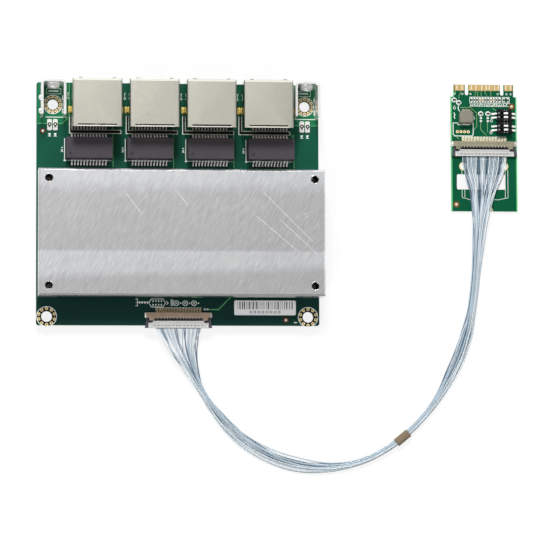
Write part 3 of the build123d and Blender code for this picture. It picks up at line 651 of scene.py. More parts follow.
lead_count = 12
lead_pitch = 1.0
lead_row_y = transformer_y - 4.7
open_piece("transformer_1_pads")
add_plate(first_transformer - (lead_count - 1) / 2 * lead_pitch, lead_row_y, 0.5, 0.9, deck, pad_rise)
repeat_piece(lead_count, lead_pitch)
repeat_piece(2, 0, 9.4)
copy_to_others(close_piece(pale_tin), transformer_middles)


def add_fiducials(prefix, x, y, low, outer, laminate, shift_x, shift_y):
    """Two round marks that guide the placing of parts: a tinned dot in a ring of bare laminate."""
    open_piece(f"{prefix}_ring_1")
    add_ring(x, y, 0.45, outer, low, trace_rise, 24)
    ring = close_piece(laminate)
    open_piece(f"{prefix}_dot_1")
    add_disc(x, y, 0.46, low, pad_rise, 16)
    dot = close_piece(pale_tin)
    copy_piece(ring, f"{prefix}_ring_2", shift_x, shift_y)
    copy_piece(dot, f"{prefix}_dot_2", shift_x, shift_y)


bare_brown = finish("bare_laminate", (0.11, 0.025, 0.012), specular=0.1, roughness=0.6)
add_fiducials("fiducial", -77.1, 23.1, deck, 0.95, bare_brown, 79.0, -61.3)

# The panel brackets
# Two U-shaped brackets folded from tinned steel. Their legs go through the board, and a fillet of solder
# stands at each leg.
tin = finish(
    "bright_tin", (0.97, 0.97, 0.96), metallic=0.45, tone=0.2, tone_scale=250.0, grain_scale=1500.0,
    grain_tone=0.1, roughness=0.16, roughness_spread=0.12,
)
rounded_copy("left_bracket", 0.12, tin)
rounded_copy("right_bracket", 0.12, tin)
solder = finish("solder", (0.86, 0.86, 0.84), metallic=0.5, tone=0.25, tone_scale=900.0, roughness=0.2)


def add_ball(x, y, z, half_width, half_depth, half_height):
    """A ball squashed to size, in millimetres."""
    bpy.ops.mesh.primitive_uv_sphere_add(
        segments=16, ring_count=8, radius=mm, location=(x * mm, y * mm, z * mm),
        scale=(half_width, half_depth, half_height),
    )


def cut_below(low):
    """Takes off all that the open piece has below a height in millimetres."""
    bpy.ops.mesh.select_all(action="SELECT")
    bpy.ops.mesh.bisect(plane_co=(0, 0, low * mm), plane_no=(0, 0, 1), use_fill=True, clear_inner=True)


for name, (low, high), x in zip(("left", "right"), brackets, bracket_middles):
    open_piece(f"{name}_bracket_solder")
    for leg_y in (high.y - 4.65, high.y - 9.05):
        for leg_x, reach in ((x - 4.05, 0.595), (x + 3.3, 0.425), (x + 4.05, 0.51)):
            add_ball(leg_x, leg_y, deck, reach, 0.95, 0.35)
    cut_below(deck)
    close_piece(solder, smooth_angle=80)

# The network jacks
# Each jack is a black moulding in a folded shield of nickel-plated brass. The top is satin, the side walls
# shine like a mirror and are painted darker as a painted reflection, and the front edge is folded over as a
# narrow lip with a painted highlight.
nickel_colour = (0.6, 0.59, 0.51)
painted_wall_shade_colour = (0.5, 0.48, 0.43)
leg_colour = (0.9, 0.68, 0.2)
nickel = finish(
    "satin_nickel", nickel_colour, metallic=1.0, tone=0.06, tone_scale=150.0, grain_scale=2600.0,
    grain_tone=0.12, roughness=0.34, roughness_spread=0.12,
)
wall_smoothness = 0.24
tree = nickel.node_tree
smooth_wall = calculate(tree, "MULTIPLY", upright_mask(tree), wall_smoothness)
wall_roughness = calculate(tree, "SUBTRACT", tree.nodes["surface"].outputs["Roughness"], smooth_wall)
link(tree, wall_roughness, tree.nodes["Principled BSDF"].inputs["Roughness"])
# Painted reflection: upright walls get a darker colour, standing in for the dark board that they mirror.
wall_shaded = blend(tree, upright_mask(tree), nickel_colour, painted_wall_shade_colour)
footed = blend(tree, place_along(tree, "Z", 4.25, 4.3), leg_colour, wall_shaded)
link(tree, footed, tree.nodes["surface"].inputs["Color"])
bright_nickel = finish(
    "bright_nickel", (0.9, 0.88, 0.8), metallic=0.5, tone=0.05, grain_scale=2600.0, roughness=0.3
)
gold_wire = finish("gold_wire", (0.85, 0.6, 0.22), metallic=1.0, roughness=0.25)
black = finish("black_moulding", (0.014, 0.014, 0.016), tone=0.3, tone_scale=200.0, roughness=0.5)
for number in (1, 2, 3, 4):
    rounded_copy(f"jack_{number}_shield", 0.1, nickel)
    dress(black, f"jack_{number}_housing")
    dress(gold_wire, f"jack_{number}_contacts")
jack_top = jacks[0][1].z
shield_front = 38.5
lip_depth = 0.7
lip_rise = 0.05
slit_y = 23.6
# Painted highlight: flat bright strips along the folded front edge and beside the slit stand in for light on
# the bends.
open_piece("jack_1_trim")
add_plate(first_jack, shield_front - lip_depth / 2, 15.4, lip_depth, jack_top, lip_rise)
add_plate(first_jack, slit_y - 0.46, 12.9, 0.2, jack_top, lip_rise)
copy_to_others(close_piece(bright_nickel), jack_middles)
open_piece("jack_1_slit_shadow")
add_plate(first_jack, slit_y, 12.5, 0.42, jack_top - 0.12, 0.1)
copy_to_others(close_piece(black_gap), jack_middles)

# The line transformers
# Black epoxy mouldings with a matt, slightly grey top, a shallow round dimple at the first lead, and tinned
# gull-wing leads.
moulded = finish(
    "transformer_moulding", (0.042, 0.036, 0.045), specular=0.3, tone=0.35, tone_scale=260.0,
    grain_scale=3500.0, grain_tone=0.6, roughness=0.55, relief=0.00001,
)
leads = finish("tinned_lead", (1.0, 1.0, 0.97), metallic=0.15, tone=0.1, tone_scale=900.0, roughness=0.25)
for number in (1, 2, 3, 4):
    rounded_copy(f"transformer_{number}_body", 0.12, moulded)
    dress(leads, f"transformer_{number}_leads")
transformer_low, transformer_high = transformers[0]
dimple_finish = finish("dimple", (0.022, 0.02, 0.026), specular=0.3, roughness=0.35)
open_piece("transformer_1_dimple")
add_disc(transformer_low.x + 1.5, transformer_low.y + 1.6, 0.5, transformer_high.z, 0.02)
copy_to_others(close_piece(dimple_finish), transformer_middles)

# The heat spreader
# A machined aluminium block with a ground top. The grinding left a fine slanting grain, and two brighter
# bands across the block are painted highlights in its colour. Its four tapped holes hold threads painted dark
# as shade.
spreader_top = in_mm("heat_spreader")[1].z
grain_turn = math.radians(-62)
aluminium = finish(
    "ground_aluminium", (0.7, 0.7, 0.71), metallic=1.0, tone=0.1, tone_scale=80.0, grain_scale=2600.0,
    grain_turn=(0, 0, grain_turn), grain_stretch=(0.11, 1, 1), grain_tone=0.34, roughness=0.3,
    roughness_spread=0.08, relief=0.000002,
)
# Painted highlights: two bands across the top are painted brighter by place, standing in for light on the
# block.
band_slant = -0.035
ground_grey = (0.76, 0.76, 0.765)
painted_highlight_colour = (0.95, 0.965, 1.0)
tree = aluminium.node_tree
front_highlight = place_along(tree, "Y", 0.8, 7.0)
middle_end = place_along(tree, "Y", -17.4, -16.2)
place = tree.nodes.new("ShaderNodeTexCoord").outputs["Object"]
split = add_node(tree, "ShaderNodeSeparateXYZ", place).node
slanted = calculate(tree, "MULTIPLY_ADD", split.outputs["X"], band_slant, split.outputs["Y"])
middle_start = add_node(tree, "ShaderNodeMapRange", slanted, -24.5 * mm, -20.5 * mm, 0.0, 1.0)
for edge in (front_highlight, middle_end, middle_start):
    edge.node.interpolation_type = "SMOOTHSTEP"
middle_highlight = calculate(tree, "SUBTRACT", middle_start, middle_end)
bands = calculate(tree, "MAXIMUM", front_highlight, calculate(tree, "MAXIMUM", middle_highlight, 0.0))
link(tree, blend(tree, bands, ground_grey, painted_highlight_colour), tree.nodes["surface"].inputs["Color"])
rounded_copy("heat_spreader", 0.15, aluminium)

hole_x, hole_y = -75.35, -28.0
hole_step_x, hole_step_y = 85.7, 34.6
thread_pitch = 0.5
thread_depth = 5.0


def add_hoop(z, radius, wire_radius, sides, wire_sides):
    """A round wire ring in the first tapped hole, in millimetres."""
    bpy.ops.mesh.primitive_torus_add(
        location=(hole_x * mm, hole_y * mm, z * mm), major_segments=sides, minor_segments=wire_sides,
        major_radius=radius * mm, minor_radius=wire_radius * mm,
    )


# Painted shade: the threads and the floor of each hole are painted near black, as the shade inside the holes.
open_piece("spreader_threads")
add_hoop(spreader_top - thread_depth, 1.22, 0.17, 28, 6)
repeat_piece(10, 0, 0, thread_pitch)
add_disc(hole_x, hole_y, 1.24, spreader_top - thread_depth - 0.45, 0.05, 24)
repeat_piece(2, hole_step_x)
repeat_piece(2, 0, hole_step_y)
painted_shade_thread_metal = finish("dark_thread", (0.12, 0.11, 0.1), metallic=1.0, roughness=0.25)
close_piece(painted_shade_thread_metal, smooth_angle=80)
open_piece("spreader_hole_rims")
add_hoop(spreader_top, 1.34, 0.11, 36, 8)
repeat_piece(2, hole_step_x)
repeat_piece(2, 0, hole_step_y)
rim_metal = finish("cut_aluminium", (0.8, 0.8, 0.8), metallic=0.8, roughness=0.2)
close_piece(rim_metal, smooth_angle=80)

scratch_seed = 5
scratch_rise = 0.008
draw = random.Random(scratch_seed)
open_piece("spreader_scratches")
for start, end in (
    ((-6.0, 2.0), (9.5, -13.5)), ((-8.5, -5.5), (5.0, -17.0)), ((-1.0, -6.5), (11.5, -18.0)),
    ((-50.5, 1.5), (-46.0, -4.5)), ((-30.8, -2.0), (-34.8, 2.9)),
):
    add_bars([start, end], 0.1, spreader_top, scratch_rise)
for small_scratch in range(60):
    x, y = draw.uniform(-76, 11), draw.uniform(-29, 8)
    reach, turn = draw.uniform(0.3, 1.6), draw.uniform(0.2, 1.4)
    end = (x + reach * math.cos(turn), y + reach * math.sin(turn))
    add_bars([(x, y), end], 0.06, spreader_top, scratch_rise)
scratch_metal = finish("fresh_scratch", (0.93, 0.93, 0.95), metallic=0.5, roughness=0.4)
close_piece(scratch_metal)

# Hidden pieces below the heat spreader
# Black chips with soft grey-blue pads on them, and steel screws that hold the heat spreader from below.
dress(black, "lan_chips", "bridge_chip")
dress(finish("thermal_pad", (0.2, 0.25, 0.35), tone=0.2, tone_scale=400.0, roughness=0.8), "thermal_pads")
dress(finish("screw_steel", (0.5, 0.5, 0.5), metallic=1.0, roughness=0.3), "spreader_screws")

# The status lamps
# Two white chip lamps stand behind each bracket. Each has tinned ends and a clear lens with a dark ring, and
# the ink behind it shows which way the current runs.
lamp_white = finish("lamp_body", (0.8, 0.8, 0.77), tone=0.1, tone_scale=900.0, roughness=0.4)
dress(lamp_white, "status_lamps")
lamps_low, lamps_high = in_mm("status_lamps")
lamp_x = -74.925
lamp_y = (lamps_low.y + lamps_high.y) / 2
lamp_step, lamp_far_step = 1.85, 82.3
open_piece("lamp_rings")
add_ring(lamp_x, lamp_y + 0.1, 0.26, 0.66, lamps_high.z, 0.04, 20)
add_plate(lamp_x, lamp_y - 0.68, 0.5, 0.24, lamps_high.z, 0.04)
lamp_rings = close_piece(black_gap)
open_piece("lamp_ends")
for side in (-1, 1):
    add_plate(lamp_x, lamp_y + side * 1.4, 1.54, 0.54, deck, 0.63)
    add_plate(lamp_x, lamp_y + side * 1.75, 1.2, 0.3, deck, 0.2)
lamp_ends = close_piece(pale_tin)
open_piece("lamp_marks")
bpy.ops.mesh.primitive_cone_add(
    vertices=3, radius1=0.6 * mm, radius2=0.55 * mm, depth=ink_rise * mm,
    location=(lamp_x * mm, (lamp_y - 3.0) * mm, (deck + ink_rise / 2) * mm), rotation=(0, 0, math.pi),
)
add_plate(lamp_x, lamp_y - 3.65, 1.0, 0.22, deck, ink_rise)
lamp_marks = close_piece(ink)
for piece in (lamp_rings, lamp_ends, lamp_marks):
    for number, shift in zip((2, 3, 4), (lamp_step, lamp_far_step, lamp_step + lamp_far_step)):
        copy_piece(piece, f"{piece.name}_{number}", shift)


# The cable connectors
# On each board a fine-pitch receptacle: gilt terminals in a dark moulding under a tinned brass shell that is
# soldered at both ends. The cable's plug has a bright pressed shell with raised ribs, between the dark arms.
# The ribs and the socket shell's teeth are painted paler as highlights, and the plug's grooves darker as
# shade.
def dress_connector(prefix, shell_tint, terminal_tint):
    """Finishes one receptacle and its plug."""
    low, high = in_mm(f"{prefix}_receptacle_shell")
    middle = (low.x + high.x) / 2
    back = high.y
    shell = finish(
        f"{prefix}_socket_shell", shell_tint, metallic=0.55, tone=0.4, tone_scale=500.0, grain_tone=0.3,
        roughness=0.3,
    )
    rounded_copy(f"{prefix}_receptacle_shell", 0.06, shell)
    open_piece(f"{prefix}_shell_bosses")
    add_disc(middle - 8.7, back - 1.3, 0.8, high.z, 0.1, 24)
    add_disc(middle - 8.7, back - 1.3, 0.42, high.z, 0.18, 20)
    repeat_piece(2, 17.4)
    add_plate(middle, back - 0.5, 16.4, 0.24, high.z, 0.07)
    add_plate(middle, back - 1.65, 15.4, 0.2, high.z, 0.05)
    close_piece(shell)
    opening_y = low.y + 0.75
    open_piece(f"{prefix}_shell_openings")
    add_plate(middle, opening_y, 16.2, 0.44, high.z, 0.03)
    close_piece(black_gap)
    # Painted highlight: the teeth are painted paler than the shell.
    open_piece(f"{prefix}_shell_teeth")
    add_plate(middle - 7.75, opening_y, 0.16, 0.4, high.z, 0.06)
    repeat_piece(16, 1.033)
    close_piece(painted_highlight_tin)
    open_piece(f"{prefix}_shell_solder")
    add_ball(middle - 10.5, back - 0.85, low.z, 0.55, 0.95, 0.42)
    cut_below(low.z)
    repeat_piece(2, 21.0)
    close_piece(solder, smooth_angle=80)
    dress(purple_black, f"{prefix}_receptacle_body", f"{prefix}_plug_body")

    open_piece(f"{prefix}_terminal_pads")
    first_terminal = middle - (terminal_count - 1) / 2 * terminal_pitch
    add_plate(first_terminal, back + 1.4, 0.28, 0.6, low.z, pad_rise)
    repeat_piece(terminal_count, terminal_pitch)
    close_piece(white_solder)
    terminals = finish(f"{prefix}_terminals", (0.8, 0.6, 0.28), metallic=0.4, tone=0.3, tone_scale=900.0)
    tree = terminals.node_tree
    outside = place_along(tree, "Y", back - 0.3, back)
    shaded = blend(tree, outside, (0.1, 0.09, 0.1), terminal_tint)
    link(tree, shaded, tree.nodes["surface"].inputs["Color"])
    dress(terminals, f"{prefix}_receptacle_contacts")

    rounded_copy(f"{prefix}_plug_shell", 0.06, plug_metal)
    plug_low, plug_high = in_mm(f"{prefix}_plug_shell")
    # Painted highlight: the ribs are painted paler than the shell they are pressed from.
    open_piece(f"{prefix}_plug_ribs")
    add_plate(middle - 9.35, plug_low.y + 0.55, 0.45, 0.8, plug_high.z, 0.1)
    repeat_piece(2, 18.7)
    add_plate(middle, plug_high.y - 0.16, 16.2, 0.2, plug_high.z, 0.11)
    add_plate(middle, plug_high.y - 0.98, 17.4, 0.16, plug_high.z, 0.07)
    add_plate(middle, plug_low.y + 0.16, 18.9, 0.2, plug_high.z, 0.11)
    close_piece(painted_highlight_tin)
    # Painted shade: the grooves are dark plates on the shell.
    open_piece(f"{prefix}_plug_grooves")
    add_plate(middle - 7.67, plug_low.y + 0.78, 0.5, 0.3, plug_high.z, 0.03)
    repeat_piece(14, 1.18)
    add_plate(middle, plug_low.y + 0.03, 19.2, 0.05, plug_high.z, 0.03)
    close_piece(painted_shade_metal)


terminal_count = 30
terminal_pitch = 0.5
white_solder = finish("white_solder", (0.78, 0.84, 0.78), tone=0.15, tone_scale=300.0, roughness=0.6)
purple_black = finish("socket_moulding", (0.05, 0.042, 0.066), tone=0.3, tone_scale=500.0, roughness=0.4)
plug_metal = finish(
    "plug_tin", (0.66, 0.66, 0.64), metallic=0.5, tone=0.4, tone_scale=700.0, grain_tone=0.5,
    grain_scale=4000.0, roughness=0.3,
)
painted_highlight_tin = finish(
    "plug_rib_tin", (0.84, 0.84, 0.82), metallic=0.4, tone=0.15, tone_scale=900.0, roughness=0.3
)
painted_shade_metal = finish("plug_groove", (0.28, 0.26, 0.27), metallic=0.5, roughness=0.4)
dress_connector("board", (0.5, 0.37, 0.27), (0.62, 0.47, 0.28))
dress_connector("card", (0.4, 0.37, 0.26), (0.74, 0.66, 0.47))

# The labels
# White paper labels, stuck on flat. The large one carries a bar pattern and a row of noughts as plain
# stand-ins for its print, and the small one is left blank.
paper = finish("label_paper", (0.78, 0.78, 0.78), specular=0.2, tone=0.04, roughness=0.6)
# Painted light: the large label's paper is whiter than the small one's, to make up for the heat spreader's
# shade on it.
bright_paper = finish("bright_paper", (1.0, 1.0, 1.0), specular=0.2, tone=0.04, roughness=0.6)
rounded_copy("board_label", 0.02, bright_paper, segments=1)
rounded_copy("card_label", 0.02, paper, segments=1)
label_low, label_high = in_mm("board_label")
print_rise = 0.01
print_seed = 21
draw = random.Random(print_seed)
print_black = finish("label_print", (0.02, 0.02, 0.02), specular=0.1, roughness=0.6)
open_piece("label_bars")
x = label_low.x + 1.0
while x < label_high.x - 1.1:
    width = draw.choice((0.1, 0.1, 0.2, 0.32))
    add_plate(x + width / 2, label_high.y - 1.6, width, 2.5, label_high.z, print_rise)
    x += width + draw.choice((0.25, 0.35, 0.45, 0.6))
close_piece(print_black)
open_piece("label_noughts")
add_ring(label_low.x + 5.4, label_low.y + 1.0, 0.26, 0.42, label_high.z, print_rise, 12)
repeat_piece(8, 1.32)
close_piece(print_black)

# The plug-in card
# A thin card under brighter green solder mask, with bare pale edges. Its gilt contacts plug into a socket,
# and a plated half-round notch at the rear takes the hold-down screw.
card_low, card_high = in_mm("card_board")
card_deck = card_high.z
card_x = (card_low.x + card_high.x) / 2
card_mask_colour = (0.002, 0.085, 0.037)
card_mask = finish(
    "card_mask", card_mask_colour, specular=0.07, tone=0.4, tone_scale=80.0, grain_scale=2200.0,
    grain_tone=0.1, roughness=0.38,
)
tree = card_mask.node_tree
edged = blend(tree, upright_mask(tree), card_mask_colour, (0.25, 0.55, 0.25))
link(tree, edged, tree.nodes["surface"].inputs["Color"])
dress(card_mask, "card_board")
dress(finish("card_gilt", (0.72, 0.52, 0.22), metallic=0.3, roughness=0.3), "card_edge_contacts")
finger_y = card_high.y - 0.95
finger_tint = finish(
    "gilt_ground", (0.4, 0.23, 0.06), metallic=0.4, tone=0.2, tone_scale=500.0, roughness=0.35
)
open_piece("card_gilt_ground")
for start, end in ((58.35, 61.8), (63.25, 73.55), (75.0, 77.95)):
    add_plate((start + end) / 2, finger_y, end - start, 1.9, card_deck, 0.02)
close_piece(finger_tint)
# Painted highlights: pale streaks on some contacts stand in for light on the gilt.
worn_gilt = finish("worn_gilt", (0.84, 0.74, 0.56), metallic=0.3, tone=0.2, tone_scale=500.0, roughness=0.3)
fingers_top = in_mm("card_edge_contacts")[1].z
open_piece("card_worn_gilt")
for x in (59.2, 61.0, 64.1, 65.6, 67.6, 69.1, 70.1, 71.9, 73.1, 75.6, 77.3):
    add_plate(x, finger_y, 0.42, 1.5, fingers_top, 0.01)
close_piece(worn_gilt)
edge_rise = 0.015
edge_front = 36.05
edge_field = finish("card_edge_field", (0.1, 0.5, 0.18), specular=0.15, roughness=0.4)
open_piece("card_edge_fields")
add_plate(card_x - 10.8, (card_low.y + edge_front) / 2, 0.36, edge_front - card_low.y, card_deck, edge_rise)
repeat_piece(2, 21.6)
add_plate(58.15, 37.0, 0.3, 2.2, card_deck, edge_rise)
close_piece(edge_field)

card_line = finish("card_copper_line", (0.2, 0.36, 0.16), specular=0.15, roughness=0.4)
open_piece("card_copper_lines")
for points in (
    [(60.4, 32.5), (63.8, 32.5), (65.8, 30.6), (65.8, 26.2), (65.0, 25.2)],
    [(67.1, 27.4), (67.1, 25.2), (69.0, 23.3)], [(69.4, 27.4), (69.4, 24.4)], [(58.7, 23.0), (59.8, 21.9)],
    [(71.2, 32.2), (72.3, 31.5)], [(65.4, 38.0), (65.4, 36.6)], [(66.2, 38.0), (66.2, 36.3)],
    [(67.4, 38.0), (67.4, 36.4)], [(68.7, 38.0), (68.7, 37.2), (69.2, 36.6)], [(70.6, 38.0), (70.6, 36.4)],
    [(58.7, 38.0), (58.7, 37.0)], [(60.6, 37.6), (60.0, 36.4), (59.9, 35.6)],
):
    add_bars(points, 0.2, card_deck, trace_rise)
close_piece(card_line)

# Ink on the card
# White ink frames the free connector place and the small parts, with a row of little marks above the fingers.
row_x, row_y, row_step = 64.15, 34.95, 0.926
round_parts = ((58.3, 34.95), (59.85, 34.05), (67.15, 30.45), (69.55, 30.45))
open_piece("card_free_place")
add_bars(
    [(57.9, 27.3), (57.9, 23.6), (58.4, 23.0), (64.1, 23.0), (64.6, 23.6), (64.6, 27.3)], 0.26, card_deck,
    ink_rise,
)
closing_line = [(57.9, 27.3), (59.4, 27.3), (59.6, 26.7), (63.2, 26.7), (64.6, 27.3)]
add_bars(closing_line, 0.22, card_deck, ink_rise + 0.02)
close_piece(ink)
open_piece("card_mark_row")
draw = random.Random(print_seed)
for step in range(22):
    x, y = 63.9 + step * 0.57, 33.35 + draw.uniform(-0.12, 0.12)
    depth, turn = draw.uniform(0.4, 0.8), draw.uniform(-0.5, 0.5)
    add_plate(x, y, 0.3, depth, card_deck, ink_rise, turn)
add_bars([(63.4, 32.9), (76.5, 32.9)], 0.14, card_deck, ink_rise + 0.006)
close_piece(ink)
open_piece("card_chip_frame")
for start, end in ((63.55, 73.95), (74.5, 76.75)):
    add_bars(box_points(start, row_y + 1.0, end, row_y - 1.0), fine_width, card_deck, ink_rise)
close_piece(ink)
open_piece("card_chip_dividers")
add_plate(row_x + row_step / 2, row_y, 0.2, 0.5, card_deck, ink_rise - 0.006)
repeat_piece(10, row_step)
close_piece(ink)
open_piece("card_part_frames")
for x, y in round_parts:
    add_disc(x, y, 0.9, card_deck, ink_rise, 20, 0.85)
close_piece(ink)
mark_x, mark_y = 58.5, 37.0
open_piece("card_finger_mark_1")
add_ring(mark_x, mark_y, 0.18, 0.32, card_deck, ink_rise, 10)
finger_mark = close_piece(ink)
for number, x in enumerate((61.1, 63.8, 72.9, 75.8, 77.2), start=2):
    copy_piece(finger_mark, f"card_finger_mark_{number}", x - mark_x)
mark_x, mark_y = 58.4, 32.2
open_piece("card_part_mark_1")
add_ring(mark_x, mark_y, 0.3, 0.46, card_deck, ink_rise, 14)
add_plate(mark_x, mark_y + 0.7, 0.5, 0.2, card_deck, ink_rise)
part_mark = close_piece(ink)
for number, (x, y) in enumerate(((64.7, 28.9), (70.7, 28.1), (70.5, 24.1)), start=2):
    copy_piece(part_mark, f"card_part_mark_{number}", x - mark_x, y - mark_y)
open_piece("card_side_marks")
add_bars([(59.8, 33.0), (59.6, 32.1), (60.1, 31.2)], 0.26, card_deck, ink_rise)
add_bars([(58.3, 30.6), (58.5, 30.0), (58.3, 29.4), (58.5, 28.8)], 0.3, card_deck, ink_rise)
close_piece(ink)
open_piece("card_rear_lines")
add_plate(60.7, 7.2, 0.14, 9.2, card_deck, ink_rise)
repeat_piece(2, 0.9)
repeat_piece(2, 14.4)
add_bars([(60.7, 2.6), (63.2, 1.9), (73.0, 1.9), (76.0, 2.6)], 0.14, card_deck, ink_rise)
close_piece(ink)

# Plated places on the card
# Gilt pads with vias in them, gilt rings round the free holes, a gilt lining in the notch, and two round
# marks that guide the placing of parts.
via_x, via_y = 59.3, 24.4
via_step = 1.22
open_piece("card_vias")
add_disc(via_x, via_y, 0.5, card_deck, pad_rise, 18)
repeat_piece(4, via_step)
close_piece(gilt)
open_piece("card_via_holes")
add_disc(via_x, via_y, 0.2, card_deck + pad_rise, via_rise, 12)
repeat_piece(4, via_step)
close_piece(via_brown)
open_piece("card_hole_rings")
add_ring(61.25, 12.95, 1.14, 1.42, card_deck, pad_rise, 40)
repeat_piece(2, 13.5)
close_piece(gilt)
open_piece("notch_lining")
add_ring(card_x, card_low.y, 1.8, 2.7, card_deck, pad_rise, 48)
bpy.ops.mesh.select_linked()
bpy.ops.mesh.bisect(
    plane_co=(card_x * mm, (card_low.y + 0.02) * mm, card_deck * mm), plane_no=(0, 1, 0), use_fill=True,
    clear_inner=True,
)
close_piece(gilt)
warm_brown = finish("card_laminate", (0.2, 0.08, 0.01), specular=0.1, roughness=0.6)
add_fiducials("card_fiducial", 77.5, 32.9, card_deck, 1.0, warm_brown, -18.75, -32.6)

# Small parts on the card
# Chip resistors and capacitors with tinned ends on a black or tan body, and a pressed-powder inductor.
chip_body = finish("chip_part", (0.03, 0.027, 0.024), tone=0.2, tone_scale=900.0, roughness=0.4)
dress(chip_body, "card_chip_parts")
chip_rise = in_mm("card_chip_parts")[1].z - card_deck
open_piece("card_chip_ends")
add_plate(row_x, row_y - 0.43, 0.54, 0.2, card_deck, chip_rise + 0.03)
add_plate(row_x, row_y - 0.64, 0.56, 0.34, card_deck, pad_rise)
bpy.ops.mesh.select_all(action="SELECT")
bpy.ops.mesh.spin(
    steps=1, dupli=True, angle=math.pi, center=(row_x * mm, row_y * mm, 0), axis=(0, 0, 1)
)
chip_ends = close_piece(leads)
chip_places = [(row_x + index * row_step, row_y) for index in range(1, 11)]
chip_places += [(75.0, row_y), (76.2, row_y), *round_parts]
for number, (x, y) in enumerate(chip_places, start=2):
    copy_piece(chip_ends, f"card_chip_ends_{number}", x - row_x, y - row_y)
open_piece("card_part_bands")
for x, y in round_parts:
    add_disc(x, y, 0.58, card_deck + chip_rise, 0.03, 16, 0.62)
close_piece(chip_body)
tan_body = finish("tan_capacitor", (0.5, 0.33, 0.17), roughness=0.45)
open_piece("card_tan_bodies")
add_plate(row_x + 3 * row_step, row_y, 0.52, 0.56, card_deck, chip_rise + 0.02)
repeat_piece(2, row_step)
repeat_piece(2, 4 * row_step)
close_piece(tan_body)
open_piece("card_free_pads")
add_disc(67.2, 29.0, 0.42, card_deck, pad_rise, 14)
repeat_piece(2, 0, -1.0)
repeat_piece(2, 2.3)
close_piece(pale_tin)
powder = finish(
    "pressed_powder", (0.21, 0.2, 0.15), tone=0.3, tone_scale=500.0, grain_tone=0.4, roughness=0.6,
    relief=0.00001,
)
rounded_copy("power_inductor", 0.25, powder)
inductor_low, inductor_high = in_mm("power_inductor")
inductor_x = (inductor_low.x + inductor_high.x) / 2
open_piece("inductor_terminals")
add_plate(inductor_x, inductor_low.y - 0.12, 2.2, 0.3, card_deck, 0.5)
add_plate(inductor_x, inductor_high.y + 0.12, 2.2, 0.3, card_deck, 0.5)
close_piece(pale_tin)

# The slide switches
# Two black mouldings with four tinned leads each, and two white sliders in a slot of their own. Small pale
# marks are printed beside the slots.
switch_black = finish("switch_moulding", (0.005, 0.006, 0.007), specular=0.15, tone=0.3, roughness=0.45)
rounded_copy("switch_1_body", 0.08, switch_black)
rounded_copy("switch_2_body", 0.08, switch_black)
dress(leads, "switch_leads")
slider_white = finish("slider_white", (0.84, 0.84, 0.82), tone=0.05, roughness=0.4)
dress(slider_white, "switch_1_slider_a", "switch_1_slider_b", "switch_2_slider_a", "switch_2_slider_b")
mark_grey = finish("switch_mark", (0.4, 0.4, 0.37), roughness=0.6)
switch_low, switch_high = in_mm("switch_1_body")
switch_x, switch_y = (switch_low.x + switch_high.x) / 2, (switch_low.y + switch_high.y) / 2
switch_shift = in_mm("switch_2_body")[0].y - switch_low.y
open_piece("switch_1_marks")
add_disc(switch_x - 0.1, switch_y + 1.62, 0.14, switch_high.z, print_rise, 10)
repeat_piece(2, 0.9)
repeat_piece(2, 0, -3.2)
add_plate(switch_low.x + 0.55, switch_y + 0.64, 0.42, 0.36, switch_high.z, print_rise)
add_plate(switch_low.x + 0.55, switch_y - 0.64, 0.42, 0.36, switch_high.z, print_rise)
switch_marks = close_piece(mark_grey)
copy_piece(switch_marks, "switch_2_marks", 0.0, switch_shift)
open_piece("switch_1_pads")
add_plate(switch_x - 3.45, switch_y - 0.635, 1.3, 0.7, card_deck, pad_rise)
repeat_piece(2, 6.9)
repeat_piece(2, 0, 1.27)
switch_pads = close_piece(pale_tin)
copy_piece(switch_pads, "switch_2_pads", 0.0, switch_shift)

# The harness wires
# Thirty fine coaxial wires in silvery blue jackets. They leave each plug side by side and gather into a loose
# bundle that lies on the table.
wire_count = 30
wire_diameter = 0.37 * mm
wire_sides = 8
harness_route = [
    (-33.15, -40.9, 3.96), (-32.45, -46.15, 3.2), (-30.15, -52.15, 2.1), (-26.75, -59.45, 1.45),
    (-21.75, -67.35, 1.45), (-15.25, -74.75, 1.45), (-6.55, -80.95, 1.45), (3.65, -85.05, 1.45),
    (14.85, -86.45, 1.45), (26.05, -84.75, 1.45), (35.85, -79.95, 1.45), (44.45, -72.95, 1.45),
    (51.75, -64.45, 1.45), (57.45, -54.55, 1.45), (61.65, -43.75, 1.45), (64.05, -32.35, 1.45),
    (65.15, -21.15, 1.45), (66.05, -10.15, 2.7), (66.85, -1.55, 2.6), (67.65, 7.45, 2.0),
    (68.15, 16.15, 1.51),
]
# How wide the wires lie at each distance from the main board's plug, both in millimetres.
harness_widths = [
    (0, 14.5), (5, 10.6), (16, 4.5), (23.5, 2.4), (33, 4.1), (45, 5.2), (60, 4.8), (72, 3.4), (83, 2.4),
    (90, 2.25), (108, 2.25), (118, 3.0), (127, 4.4), (137, 4.6), (148, 3.3), (158, 3.2), (166, 3.8),
    (174, 5.2), (181, 7.4), (188, 10.1), (194, 13.4), (198.5, 14.5),
]
bundle_width = 2.25 * mm
loose_width = 4.8 * mm
flat_start = 5.2 * mm
fan_width = 14.5 * mm
table_clearance = 0.03 * mm
wires_seed = 11


def smooth(low, high, value):
    """Nought below low, one above high, and a smooth step between them."""
    place = min(1.0, max(0.0, (value - low) / (high - low)))
    return place * place * (3 - 2 * place)


def width_slope(index):
    """How fast the width changes at one place of the list: level at its turning places."""
    before, here, after = harness_widths[index - 1], harness_widths[index], harness_widths[index + 1]
    falls = (here[1] - before[1]) / (here[0] - before[0])
    rises = (after[1] - here[1]) / (after[0] - here[0])
    return 2 * falls * rises / (falls + rises) if falls * rises > 0 else 0.0


width_slopes = [0.0, *(width_slope(index) for index in range(1, len(harness_widths) - 1)), 0.0]
width_slopes[0] = (harness_widths[1][1] - harness_widths[0][1]) / harness_widths[1][0]


